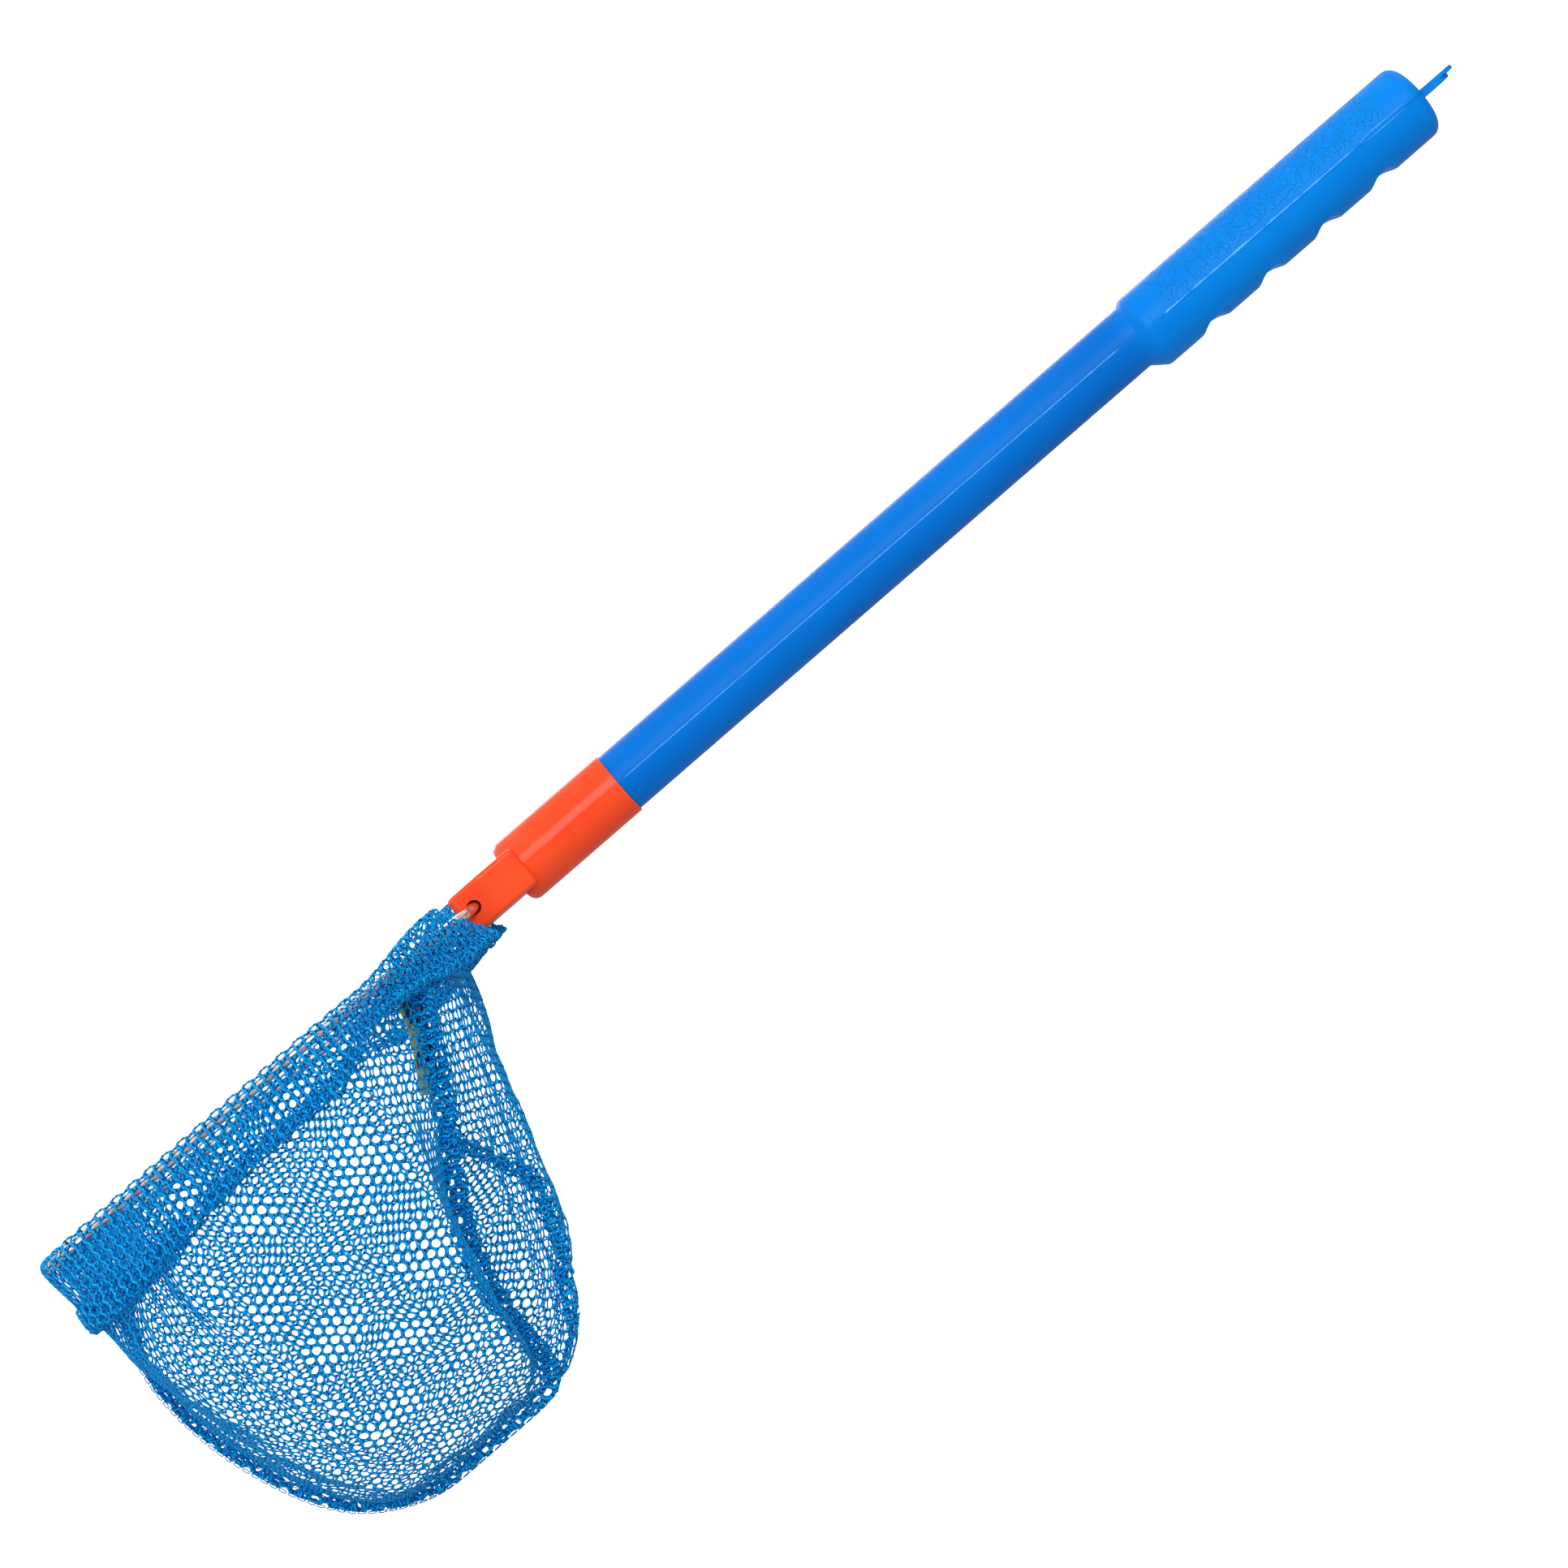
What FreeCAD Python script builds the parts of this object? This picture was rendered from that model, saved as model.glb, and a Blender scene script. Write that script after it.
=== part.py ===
import FreeCAD, Part
import math
import os

import Sketcher

# Leaf skimmer net: a blow-moulded handle, a moulded connector, a wire hoop and a knitted mesh bag.
#
# Frame: X runs along the pole, with the grip at +X and the hoop at -X. Z is up. The origin is on
# the pole's axis at the middle of the grip. The hoop lies in the plane z = 0, and the bag hangs
# below it. Left is -Y and right is +Y. All lengths are in millimetres.

DRIVING_SIZES = {
    # handle
    "grip_length": 104.0,
    "grip_radius": 12.0,
    "grip_drop": 1.1,  # the grip's axis lies this far below the tube's
    "grip_end_round": 3.6,
    "grip_neck_round": 2.4,
    "shoulder_length": 4.7,
    "shoulder_foot_radius": 8.4,
    "tube_radius": 9.55,
    "tube_bare": 195.0,  # tube that shows between grip and connector
    "tube_tucked": 34.0,  # tube inside the connector
    "cavity_radius": 7.9,
    "end_wall": 5.0,
    "ridge_height": 0.25,  # parting line left by the two mould halves
    "ridge_thickness": 0.6,
    "ridge_setback": 4.0,
    "groove_first": 34.4,  # nearest finger groove, ahead of the grip's middle
    "groove_pitch": 21.3,
    "groove_width": 10.4,
    "groove_apex": 3.0,
    "groove_round": 7.0,
    "groove_lip_round": 2.0,
    "tab_reach": 13.0,  # flat tail beyond the grip's end face
    "tab_step": 2.4,  # its lower layer ends this much sooner
    "tab_half_width": 7.0,
    "tab_corner": 5.0,
    "tab_layer": 1.2,
    "tab_drop": 1.6,
    "hang_hole_radius": 2.5,
    "hang_hole_inset": 6.2,  # hole's centre from the tab's tip
    "cut_margin": 1.0,  # how far a cutting profile runs past what it cuts
    # connector
    "sleeve_radius": 10.2,
    "sleeve_length": 41.1,
    "sleeve_end_round": 3.0,
    "sleeve_lip_round": 0.3,
    "fit_gap": 0.05,
    "block_overlap": 5.5,  # block's rear edge behind the sleeve's far end
    "block_reach": 18.5,  # block's front face ahead of the sleeve's far end
    "block_height": 12.9,
    "block_rear_half": 11.8,
    "block_middle_half": 14.8,
    "block_front_half": 13.4,
    "block_middle": 12.0,  # widest place, ahead of the block's rear edge
    "block_rear_round": 1.5,
    "block_side_round": 14.0,
    "block_front_round": 3.2,
    "block_edge_round": 1.3,
    "bore_mouth_radius": 2.1,
    "bore_mouth_depth": 4.0,
    "bore_end_gap": 0.3,
    "socket_end_gap": 0.5,
    # hoop
    "wire_radius": 1.5,
    "wire_exit_ahead": 12.6,  # where a leg leaves the block's side, ahead of the sleeve's far end
    "wire_exit_half": 13.0,
    "wire_end_half": 2.6,
    "leg_angle": 56.0,  # degrees between a leg and the pole
    "hoop_half_width": 80.0,
    "hoop_reach": 161.3,  # front bar ahead of the sleeve's far end
    "hoop_front_round": 18.0,
    "hoop_rear_round": 25.0,
    # hem casing and its thread
    "casing_end_half": 18.0,
    "casing_top_half": 2.7,
    "casing_foot_half": 1.2,
    "casing_depth": 20.0,
    "casing_wall": 0.8,
    "casing_top_round": 0.9,  # share of the top's half width
    "thread_radius": 0.35,
    "hem_thread_depth": 17.5,
    "hem_thread_offset": 1.8,
    # bag; the last three are shares of a section's half width
    "net_wall": 1.0,
    "seam_gap": 0.05,  # between each panel and the middle plane
    "seam_allowance": 6.5,
    "seam_flange": 0.5,
    "seam_thread_inset": 1.6,
    "bag_rear_flat": 0.4,
    "bag_rear_round": 0.28,
    "bag_front_round": 0.24,
    # label
    "label_thickness": 0.4,
    "label_width": 8.0,
    "label_length": 26.0,
    "label_yaw": -34.0,
    "label_tilt": 32.0,
    "label_stitch": 0.8,
    "label_top_ahead": 38.8,
    "label_top_side": 40.5,
    "label_top_depth": 6.5,
}

# The bag's sections: depth below the hoop, then the rear end, the front end and the half width of
# its outline there. Ends are measured ahead of the sleeve's far end.
BAG_SECTIONS = {
    "mouth": (20.1, 27.9, 160.4, 79.0),
    "upper": (50.0, 41.4, 160.9, 73.0),
    "middle": (80.0, 53.9, 161.9, 60.0),
    "lower": (100.0, 65.9, 159.4, 43.0),
    "deep": (112.0, 77.9, 149.9, 25.0),
    "bottom": (118.0, 91.9, 136.9, 8.0),
}
SECTION_SIZES = ("depth", "rear", "front", "half")

# The seam's outer edge in the middle plane: distance ahead of the sleeve's far end, depth, and the
# radius of that corner.
SEAM_CORNERS = {
    "rear_top": (23.4, 20.1, 0.0),
    "rear_knee": (47.4, 78.0, 60.0),
    "rear_foot": (71.9, 123.0, 42.0),
    "front_foot": (150.9, 123.0, 30.0),
    "front_knee": (167.9, 92.0, 24.0),
    "front_top": (164.9, 20.1, 0.0),
}

doc = FreeCAD.newDocument("leaf_skimmer_net")
sheet = doc.addObject("Spreadsheet::Sheet", "dims")


class Size:
    """A length together with the sheet expression that gives it."""

    def __init__(self, value, text=None):
        self.value = float(value)
        self.text = text or f"({float(value)})"

    def join(self, other, sign, value):
        return Size(value, f"({self.text} {sign} {size(other).text})")

    def __add__(self, other):
        return self.join(other, "+", self.value + size(other).value)

    def __sub__(self, other):
        return self.join(other, "-", self.value - size(other).value)

    def __mul__(self, other):
        return self.join(other, "*", self.value * size(other).value)

    def __truediv__(self, other):
        return self.join(other, "/", self.value / size(other).value)

    def __neg__(self):
        return Size(-self.value, f"(0 - {self.text})")


def size(value):
    return value if isinstance(value, Size) else Size(value)


def sine(angle):
    return Size(math.sin(math.radians(angle.value)), f"sin({angle.text})")


def cosine(angle):
    return Size(math.cos(math.radians(angle.value)), f"cos({angle.text})")


def tangent(angle):
    return Size(math.tan(math.radians(angle.value)), f"tan({angle.text})")


def fill_sheet():
    """Writes every driving size to the sheet and returns them as Sizes by alias."""
    cells = dict(DRIVING_SIZES)
    for name, numbers in BAG_SECTIONS.items():
        for what, number in zip(SECTION_SIZES, numbers):
            cells[f"bag_{name}_{what}"] = number
    for name, numbers in SEAM_CORNERS.items():
        for what, number in zip(("ahead", "depth", "round"), numbers):
            cells[f"seam_{name}_{what}"] = number
    for row, (alias, number) in enumerate(cells.items(), start=1):
        sheet.set(f"A{row}", alias.replace("_", " "))
        sheet.set(f"B{row}", str(number))
        sheet.setAlias(f"B{row}", alias)
    doc.recompute()
    return {alias: Size(sheet.get(alias), f"dims.{alias}") for alias in cells}


def bind(feature, **sizes):
    for name, value in sizes.items():
        setattr(feature, name, size(value).value)
        feature.setExpression(name, size(value).text)


def new_body(label):
    body = doc.addObject("PartDesign::Body", label)
    body.Label = label
    body.AllowCompound = True
    return body


def plane_of(body, role):
    return next(f for f in body.Origin.OriginFeatures if f.Role == role)


def new_sketch(body, name, role="XY_Plane", lift=0.0):
    """A sketch on one of the body's origin planes. XY sketches are lifted along Z, and XZ ones shifted
    along Y; an XZ sketch's own axes are X and Z."""
    sketch = body.newObject("Sketcher::SketchObject", name)
    sketch.AttachmentSupport = [(plane_of(body, role), "")]
    sketch.MapMode = "FlatFace"
    if size(lift).value:
        along_normal = -size(lift) if role == "XZ_Plane" else size(lift)
        place = FreeCAD.Vector(0, 0, along_normal.value)
        sketch.AttachmentOffset = FreeCAD.Placement(place, FreeCAD.Rotation())
        sketch.setExpression("AttachmentOffset.Base.z", along_normal.text)
    return sketch


def hold(sketch, kind, ids, value):
    """Adds a dimension and binds it to its expression."""
    index = sketch.addConstraint(Sketcher.Constraint(kind, *ids, value.value))
    sketch.setExpression(f"Constraints[{index}]", value.text)


def place_point(sketch, geometry, position, x, y):
    """Fixes a point at (x, y) from the sketch's origin."""
    for kind, value, axis in (("DistanceX", x, -2), ("DistanceY", y, -1)):
        value = size(value)
        if value.value:
            hold(sketch, kind, (-1, 1, geometry, position), value)
        else:
            sketch.addConstraint(Sketcher.Constraint("PointOnObject", geometry, position, axis))


def draw(sketch, corners, closed=True):
    """Draws lines through corners (x, y) or (x, y, radius), rounding each corner that has a radius."""
    rounds = [size(c[2]) if len(c) > 2 else Size(0) for c in corners]
    points = [FreeCAD.Vector(size(c[0]).value, size(c[1]).value, 0) for c in corners]
    count = len(points)
    entry, leave, centres = list(points), list(points), {}
    for i, radius in enumerate(rounds):
        if not radius.value:
            continue
        back = (points[i - 1] - points[i]).normalize()
        ahead = (points[(i + 1) % count] - points[i]).normalize()
        half = back.getAngle(ahead) / 2
        entry[i] = points[i] + back * (radius.value / math.tan(half))
        leave[i] = points[i] + ahead * (radius.value / math.tan(half))
        centres[i] = points[i] + (back + ahead).normalize() * (radius.value / math.sin(half))
    lines = []
    for i in range(count if closed else count - 1):
        lines.append(sketch.addGeometry(Part.LineSegment(leave[i], entry[(i + 1) % count]), False))
    for i in range(count):
        x, y = corners[i][:2]
        if i in centres:
            round_corner(sketch, lines[i - 1], lines[i], entry[i], leave[i], centres[i], rounds[i])
            corner = sketch.addGeometry(Part.Point(points[i]), True)
            for line in (lines[i - 1], lines[i]):
                sketch.addConstraint(Sketcher.Constraint("PointOnObject", corner, 1, line))
            place_point(sketch, corner, 1, x, y)
        elif closed or 0 < i < count - 1:
            sketch.addConstraint(Sketcher.Constraint("Coincident", lines[i - 1], 2, lines[i], 1))
            place_point(sketch, lines[i], 1, x, y)
        elif i == 0:
            place_point(sketch, lines[0], 1, x, y)
        else:
            place_point(sketch, lines[-1], 2, x, y)
    return lines


def round_corner(sketch, line_in, line_out, entry, leave, centre, radius):
    """An arc tangent to both lines where they meet it."""
    start, end = entry - centre, leave - centre
    turns_left = start.cross(end).z > 0
    first, last = (start, end) if turns_left else (end, start)
    circle = Part.Circle(centre, FreeCAD.Vector(0, 0, 1), radius.value)
    angles = [math.atan2(v.y, v.x) for v in (first, last)]
    arc = sketch.addGeometry(Part.ArcOfCircle(circle, *angles), False)
    at_entry, at_leave = (1, 2) if turns_left else (2, 1)
    sketch.addConstraint(Sketcher.Constraint("Tangent", line_in, 2, arc, at_entry))
    sketch.addConstraint(Sketcher.Constraint("Tangent", line_out, 1, arc, at_leave))
    hold(sketch, "Radius", (arc,), radius)


def draw_circle(sketch, x, y, radius):
    middle = FreeCAD.Vector(size(x).value, size(y).value, 0)
    circle = Part.Circle(middle, FreeCAD.Vector(0, 0, 1), radius.value)
    index = sketch.addGeometry(circle, False)
    place_point(sketch, index, 3, x, y)
    hold(sketch, "Radius", (index,), radius)


def feature(body, kind, name, profile, **settings):
    made = body.newObject(f"PartDesign::{kind}", name)
    made.Profile = profile
    for key, value in settings.items():
        setattr(made, key, value)
    return made


def pad(body, name, profile, length, **settings):
    made = feature(body, "Pad", name, profile, **settings)
    bind(made, Length=length)
    return made


def turn(body, kind, name, profile):
    """A full turn of the profile about its sketch's horizontal axis."""
    return feature(body, kind, name, profile, ReferenceAxis=(profile, ["H_Axis"]), Angle=360.0)


def mirror_across_pole(body, name, original):
    doc.recompute()
    made = body.newObject("PartDesign::Mirrored", name)
    made.Originals = [original]
    made.MirrorPlane = (plane_of(body, "XZ_Plane"), [""])
    body.Tip = made
    return made


d = fill_sheet()
GRIP_END = d["grip_length"] / 2
GRIP_NECK = -GRIP_END
MOUTH = GRIP_NECK - d["shoulder_length"] - d["tube_bare"]
SLEEVE_END = MOUTH - d["sleeve_length"]
TAB_TIP = GRIP_END + d["tab_reach"]
WIRE_EXIT = SLEEVE_END - d["wire_exit_ahead"]
HOOP_FRONT = SLEEVE_END - d["hoop_reach"]
STITCH_RISE = d["label_stitch"] + d["fit_gap"]
FINGER_GROOVES = 4


def leg_x(half):
    """Where a leg's centreline is, along X, at that distance from the middle plane."""
    return WIRE_EXIT - (size(half) - d["wire_exit_half"]) / tangent(d["leg_angle"])


def hoop_path(offset, end_half):
    """Half of the hoop's line, from the front bar's middle to a leg, offset outwards."""
    offset = size(offset)
    corner_half = d["hoop_half_width"] + offset
    corner_x = leg_x(d["hoop_half_width"]) + offset * tangent(d["leg_angle"] / 2)
    end_x = leg_x(end_half) + offset / sine(d["leg_angle"])
    return [
        (HOOP_FRONT - offset, 0.0),
        (HOOP_FRONT - offset, corner_half, d["hoop_front_round"] + offset),
        (corner_x, corner_half, d["hoop_rear_round"] + offset),
        (end_x, end_half),
    ]


def make_grip(body):
    """The thick end: rounded at its end face, and tapering to the tube at the shoulder."""
    outline = new_sketch(body, "grip_outline", "XZ_Plane")
    outline.AttachmentOffset.Base = FreeCAD.Vector(0, -d["grip_drop"].value, 0)
    outline.setExpression("AttachmentOffset.Base.y", (-d["grip_drop"]).text)
    draw(outline, [
        (GRIP_NECK - d["shoulder_length"], 0.0),
        (GRIP_END, 0.0),
        (GRIP_END, d["grip_radius"], d["grip_end_round"]),
        (GRIP_NECK, d["grip_radius"], d["grip_neck_round"]),
        (GRIP_NECK - d["shoulder_length"], d["shoulder_foot_radius"]),
    ])
    turn(body, "Revolution", "grip", outline)


def make_tube(body):
    outline = new_sketch(body, "tube_outline", "XZ_Plane")
    draw(outline, [
        (MOUTH - d["tube_tucked"], 0.0),
        (0.0, 0.0),
        (0.0, d["tube_radius"]),
        (MOUTH - d["tube_tucked"], d["tube_radius"]),
    ])
    turn(body, "Revolution", "tube", outline)


def make_parting_ridge(body):
    """The thin line that the mould leaves along both sides of the grip."""
    half = d["grip_radius"] + d["ridge_height"]
    rear = GRIP_END + d["ridge_height"]
    front = GRIP_NECK + d["ridge_setback"]
    outline = new_sketch(body, "ridge_outline", "XY_Plane", -d["grip_drop"])
    draw(outline, [
        (front, -half),
        (rear, -half, d["grip_end_round"]),
        (rear, half, d["grip_end_round"]),
        (front, half),
    ])
    pad(body, "ridge", outline, d["ridge_thickness"], SideType="Symmetric")


def make_tab(body):
    """The flat tail: two layers welded together, the lower one shorter, with the hanging hole."""
    root = GRIP_END - d["grip_end_round"] * 2
    half = d["tab_half_width"]
    middle = -(d["tab_drop"])
    layers = (("upper", TAB_TIP, False), ("lower", TAB_TIP - d["tab_step"], True))
    for name, tip, downwards in layers:
        outline = new_sketch(body, f"tab_{name}_outline", "XY_Plane", middle)
        draw(outline, [
            (root, -half),
            (tip, -half, d["tab_corner"]),
            (tip, half, d["tab_corner"]),
            (root, half),
        ])
        pad(body, f"tab_{name}", outline, d["tab_layer"], Reversed=downwards)
    hole = new_sketch(body, "hang_hole_outline", "XY_Plane", middle)
    draw_circle(hole, TAB_TIP - d["hang_hole_inset"], 0.0, d["hang_hole_radius"])
    feature(body, "Pocket", "hang_hole", hole, Type="ThroughAll", SideType="Symmetric")


def make_finger_grooves(body):
    """Four shallow hollows with rounded lips across the grip's lower side."""
    land = -(d["grip_radius"] + d["grip_drop"] + d["seam_gap"])
    clear = land - d["groove_apex"]
    half = d["groove_width"] / 2
    corners = [(GRIP_NECK, clear), (GRIP_NECK, land)]
    for i in range(FINGER_GROOVES):
        middle = d["groove_pitch"] * i - d["groove_first"]
        corners += [
            (middle - half, land, d["groove_lip_round"]),
            (middle, land + d["groove_apex"], d["groove_round"]),
            (middle + half, land, d["groove_lip_round"]),
        ]
    corners += [(GRIP_END, land), (GRIP_END, clear)]
    outline = new_sketch(body, "grooves_outline", "XZ_Plane")
    draw(outline, corners)
    feature(body, "Pocket", "finger_grooves", outline, Type="ThroughAll", SideType="Symmetric")


def make_cavity(body):
    """The hollow inside, open at the connector's end."""
    outline = new_sketch(body, "cavity_outline", "XZ_Plane")
    open_end = MOUTH - d["tube_tucked"] - d["cut_margin"]
    draw(outline, [
        (open_end, 0.0),
        (GRIP_END - d["end_wall"], 0.0),
        (GRIP_END - d["end_wall"], d["cavity_radius"], d["grip_end_round"]),
        (open_end, d["cavity_radius"]),
    ])
    turn(body, "Groove", "cavity", outline)


def make_handle():
    body = new_body("handle")
    make_grip(body)
    make_tube(body)
    make_parting_ridge(body)
    make_tab(body)
    make_finger_grooves(body)
    make_cavity(body)
    return body


def make_connector():
    """A sleeve over the tube, and a flared block that takes both ends of the wire."""
    body = new_body("connector")
    rear = SLEEVE_END + d["block_overlap"]
    widest = rear - d["block_middle"]
    front = SLEEVE_END - d["block_reach"]
    side = [
        (rear, d["block_rear_half"], d["block_rear_round"]),
        (widest, d["block_middle_half"], d["block_side_round"]),
        (front, d["block_front_half"], d["block_front_round"]),
    ]
    other_side = [(x, -y, radius) for x, y, radius in reversed(side)]
    plan = new_sketch(body, "block_plan")
    draw(plan, side + other_side)
    block = pad(body, "block", plan, d["block_height"], SideType="Symmetric")
    doc.recompute()
    flat_edges = [
        f"Edge{i}" for i, edge in enumerate(block.Shape.Edges, start=1)
        if edge.BoundBox.ZLength < 1e-6
    ]
    rounded = body.newObject("PartDesign::Fillet", "block_rounded")
    rounded.Base = (block, flat_edges)
    bind(rounded, Radius=d["block_edge_round"])

    socket = d["tube_radius"] + d["fit_gap"]
    socket_end = MOUTH - d["tube_tucked"] - d["socket_end_gap"]
    outline = new_sketch(body, "sleeve_outline", "XZ_Plane")
    draw(outline, [
        (MOUTH, socket),
        (MOUTH, d["sleeve_radius"], d["sleeve_lip_round"]),
        (SLEEVE_END, d["sleeve_radius"], d["sleeve_end_round"]),
        (SLEEVE_END, 0.0),
        (socket_end, 0.0),
        (socket_end, socket),
    ])
    turn(body, "Revolution", "sleeve", outline)
    make_wire_bores(body)
    return body


def make_wire_bores(body):
    """Two slanted blind bores, each wider at its mouth, where the wire's ends go in."""
    along = (-cosine(d["leg_angle"]), sine(d["leg_angle"]))
    across = (sine(d["leg_angle"]), cosine(d["leg_angle"]))
    blind = -((d["wire_exit_half"] - d["wire_end_half"]) / sine(d["leg_angle"]) + d["bore_end_gap"])
    step = -d["bore_mouth_depth"]
    clear = d["bore_mouth_depth"] * 2
    narrow = d["wire_radius"] + d["fit_gap"]

    def at(distance, radius):
        radius = size(radius)
        x = WIRE_EXIT + distance * along[0] + radius * across[0]
        y = d["wire_exit_half"] + distance * along[1] + radius * across[1]
        return x, y

    outline = new_sketch(body, "bore_outline")
    profile = [
        at(blind, 0.0), at(blind, narrow), at(step, narrow), at(step, d["bore_mouth_radius"]),
        at(clear, d["bore_mouth_radius"]), at(clear, 0.0),
    ]
    lines = draw(outline, profile)
    ends = [FreeCAD.Vector(profile[i][0].value, profile[i][1].value, 0) for i in (0, -1)]
    axis = outline.addGeometry(Part.LineSegment(*ends), True)
    outline.addConstraint(Sketcher.Constraint("Coincident", axis, 1, lines[0], 1))
    outline.addConstraint(Sketcher.Constraint("Coincident", axis, 2, lines[-1], 1))
    bore = feature(body, "Groove", "bore", outline, ReferenceAxis=(outline, ["Axis0"]), Angle=360.0)
    mirror_across_pole(body, "bores", bore)


def pipe_pair(label, spine_corners, spine_height, draw_profile):
    """A pipe along half of the hoop's line from the front bar's middle, and its mirror image."""
    body = new_body(label)
    spine = new_sketch(body, f"{label}_line", "XY_Plane", spine_height)
    draw(spine, spine_corners, closed=False)
    profile = new_sketch(body, f"{label}_section", "XZ_Plane")
    draw_profile(profile)
    half = feature(body, "AdditivePipe", f"{label}_half", profile, Spine=(spine, [""]))
    mirror_across_pole(body, f"{label}_whole", half)
    return body


def make_hoop_wire():
    def section(sketch):
        draw_circle(sketch, HOOP_FRONT, 0.0, d["wire_radius"])

    return pipe_pair("hoop_wire", hoop_path(0.0, d["wire_end_half"]), 0.0, section)


def make_hem_casing():
    """The folded strip: wide round the wire, and flat where it is sewn shut below it."""
    def ring(inset):
        top, foot = d["casing_top_half"] - inset, d["casing_foot_half"] - inset
        low = -(d["casing_depth"] - inset)
        return [
            (HOOP_FRONT - top, top, top * d["casing_top_round"]),
            (HOOP_FRONT + top, top, top * d["casing_top_round"]),
            (HOOP_FRONT + foot, low),
            (HOOP_FRONT - foot, low),
        ]

    def section(sketch):
        draw(sketch, ring(Size(0)))
        draw(sketch, ring(d["casing_wall"]))

    return pipe_pair("hem_casing", hoop_path(0.0, d["casing_end_half"]), 0.0, section)


def make_hem_stitching():
    depth = -d["hem_thread_depth"]

    def section(sketch):
        draw_circle(sketch, HOOP_FRONT - d["hem_thread_offset"], depth, d["thread_radius"])

    path = hoop_path(d["hem_thread_offset"], d["casing_end_half"])
    return pipe_pair("hem_stitching", path, depth, section)


def bag_outline(name, side, inset, beyond):
    """One panel's half of the bag's outline at a section, on that side of the middle plane."""
    rear = SLEEVE_END - d[f"bag_{name}_rear"] - inset
    front = SLEEVE_END - d[f"bag_{name}_front"] + inset
    half = d[f"bag_{name}_half"] - inset
    shelf = half * d["bag_rear_flat"]
    knee = rear - (half - shelf) / tangent(d["leg_angle"])
    return [
        (rear, beyond * side),
        (rear, shelf * side),
        (knee, half * side, half * d["bag_rear_round"]),
        (front, half * side, half * d["bag_front_round"]),
        (front, beyond * side),
    ]


def bag_loft(body, kind, label, side, inset, beyond):
    sketches = []
    for name in BAG_SECTIONS:
        deeper = inset if name == "bottom" else Size(0)
        above = inset if name == "mouth" else Size(0)
        level = deeper + above - d[f"bag_{name}_depth"]
        sketch = new_sketch(body, f"{label}_{name}", "XY_Plane", level)
        draw(sketch, bag_outline(name, side, inset, beyond))
        sketches.append(sketch)
    return feature(body, kind, label, sketches[0], Sections=sketches[1:], Ruled=True)


def seam_edge(inset):
    """The seam's line in the middle plane, that far inside its outer edge."""
    shifts = {
        "rear_top": (1, 0), "rear_knee": (1, 0), "rear_foot": (0.5, -1),
        "front_foot": (-0.5, -1), "front_knee": (-1, 0), "front_top": (-1, 0),
    }
    edge = []
    for name, (ahead, down) in shifts.items():
        x = SLEEVE_END - d[f"seam_{name}_ahead"] - inset * ahead
        z = -(d[f"seam_{name}_depth"] + inset * down)
        corner_round = d[f"seam_{name}_round"]
        edge.append((x, z, corner_round - inset) if corner_round.value else (x, z))
    return edge


def make_net_panel(label, side):
    """One side of the bag: a thin bowl, cut off at the middle plane, with the seam's allowance."""
    body = new_body(label)
    bag_loft(body, "AdditiveLoft", f"{label}_outside", side, Size(0), d["seam_gap"])
    bag_loft(body, "SubtractiveLoft", f"{label}_inside", side, d["net_wall"], -d["net_wall"])
    flange = new_sketch(body, f"{label}_seam", "XZ_Plane", d["seam_gap"] * side)
    outer = seam_edge(Size(0))
    inner = seam_edge(d["seam_allowance"])
    draw(flange, outer + inner[::-1])
    pad(body, f"{label}_flange", flange, d["seam_flange"], Reversed=side > 0)
    return body


def make_seam_stitching():
    """The thread of the bag's seam, on both faces of the allowance."""
    body = new_body("seam_stitching")
    offset = d["seam_gap"] * 2 + d["seam_flange"] + d["thread_radius"]
    path = seam_edge(d["seam_thread_inset"])[::-1]
    spine = new_sketch(body, "seam_line", "XZ_Plane", offset)
    draw(spine, path, closed=False)
    section = new_sketch(body, "seam_section", "XY_Plane", path[0][1])
    draw_circle(section, path[0][0], offset, d["thread_radius"])
    half = feature(body, "AdditivePipe", "seam_half", section, Spine=(spine, [""]))
    mirror_across_pole(body, "seam_both", half)
    return body


def make_label_part(label, length, drop, thickness):
    """A flat strip that starts that far down from the label's top, inside the casing's left leg."""
    box = doc.addObject("Part::Box", label)
    box.Label = label
    bind(box, Length=thickness, Width=d["label_width"], Height=length)
    hang = FreeCAD.Rotation(FreeCAD.Vector(0, 1, 0), d["label_tilt"].value)
    face = FreeCAD.Rotation(FreeCAD.Vector(0, 0, 1), d["label_yaw"].value)
    turned = hang.multiply(face)
    top = FreeCAD.Vector(
        (SLEEVE_END - d["label_top_ahead"]).value,
        -d["label_top_side"].value,
        -d["label_top_depth"].value,
    )
    corner = FreeCAD.Vector(-thickness.value / 2, 0, -(length.value + drop.value))
    box.Placement = FreeCAD.Placement(top + turned.multVec(corner), turned)
    return box


def check_and_export(parts):
    doc.recompute()
    for item in doc.Objects:
        if {"Invalid", "Error"} & set(item.State):
            raise RuntimeError(f"{item.Name} failed: {item.State}")
    for item in parts:
        if item.Shape.isNull() or not item.Shape.isValid():
            raise RuntimeError(f"{item.Label} has no valid shape")
    os.makedirs("parts", exist_ok=True)
    for item in parts:
        item.Shape.exportStep(f"parts/{item.Label}.step")
        box = item.Shape.BoundBox
        print(f"{item.Label:16s} {len(item.Shape.Solids)} solid(s) {item.Shape.Volume:10.1f} mm3  "
              f"x {box.XMin:.1f}..{box.XMax:.1f}  y {box.YMin:.1f}..{box.YMax:.1f}  "
              f"z {box.ZMin:.1f}..{box.ZMax:.1f}")


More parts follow.
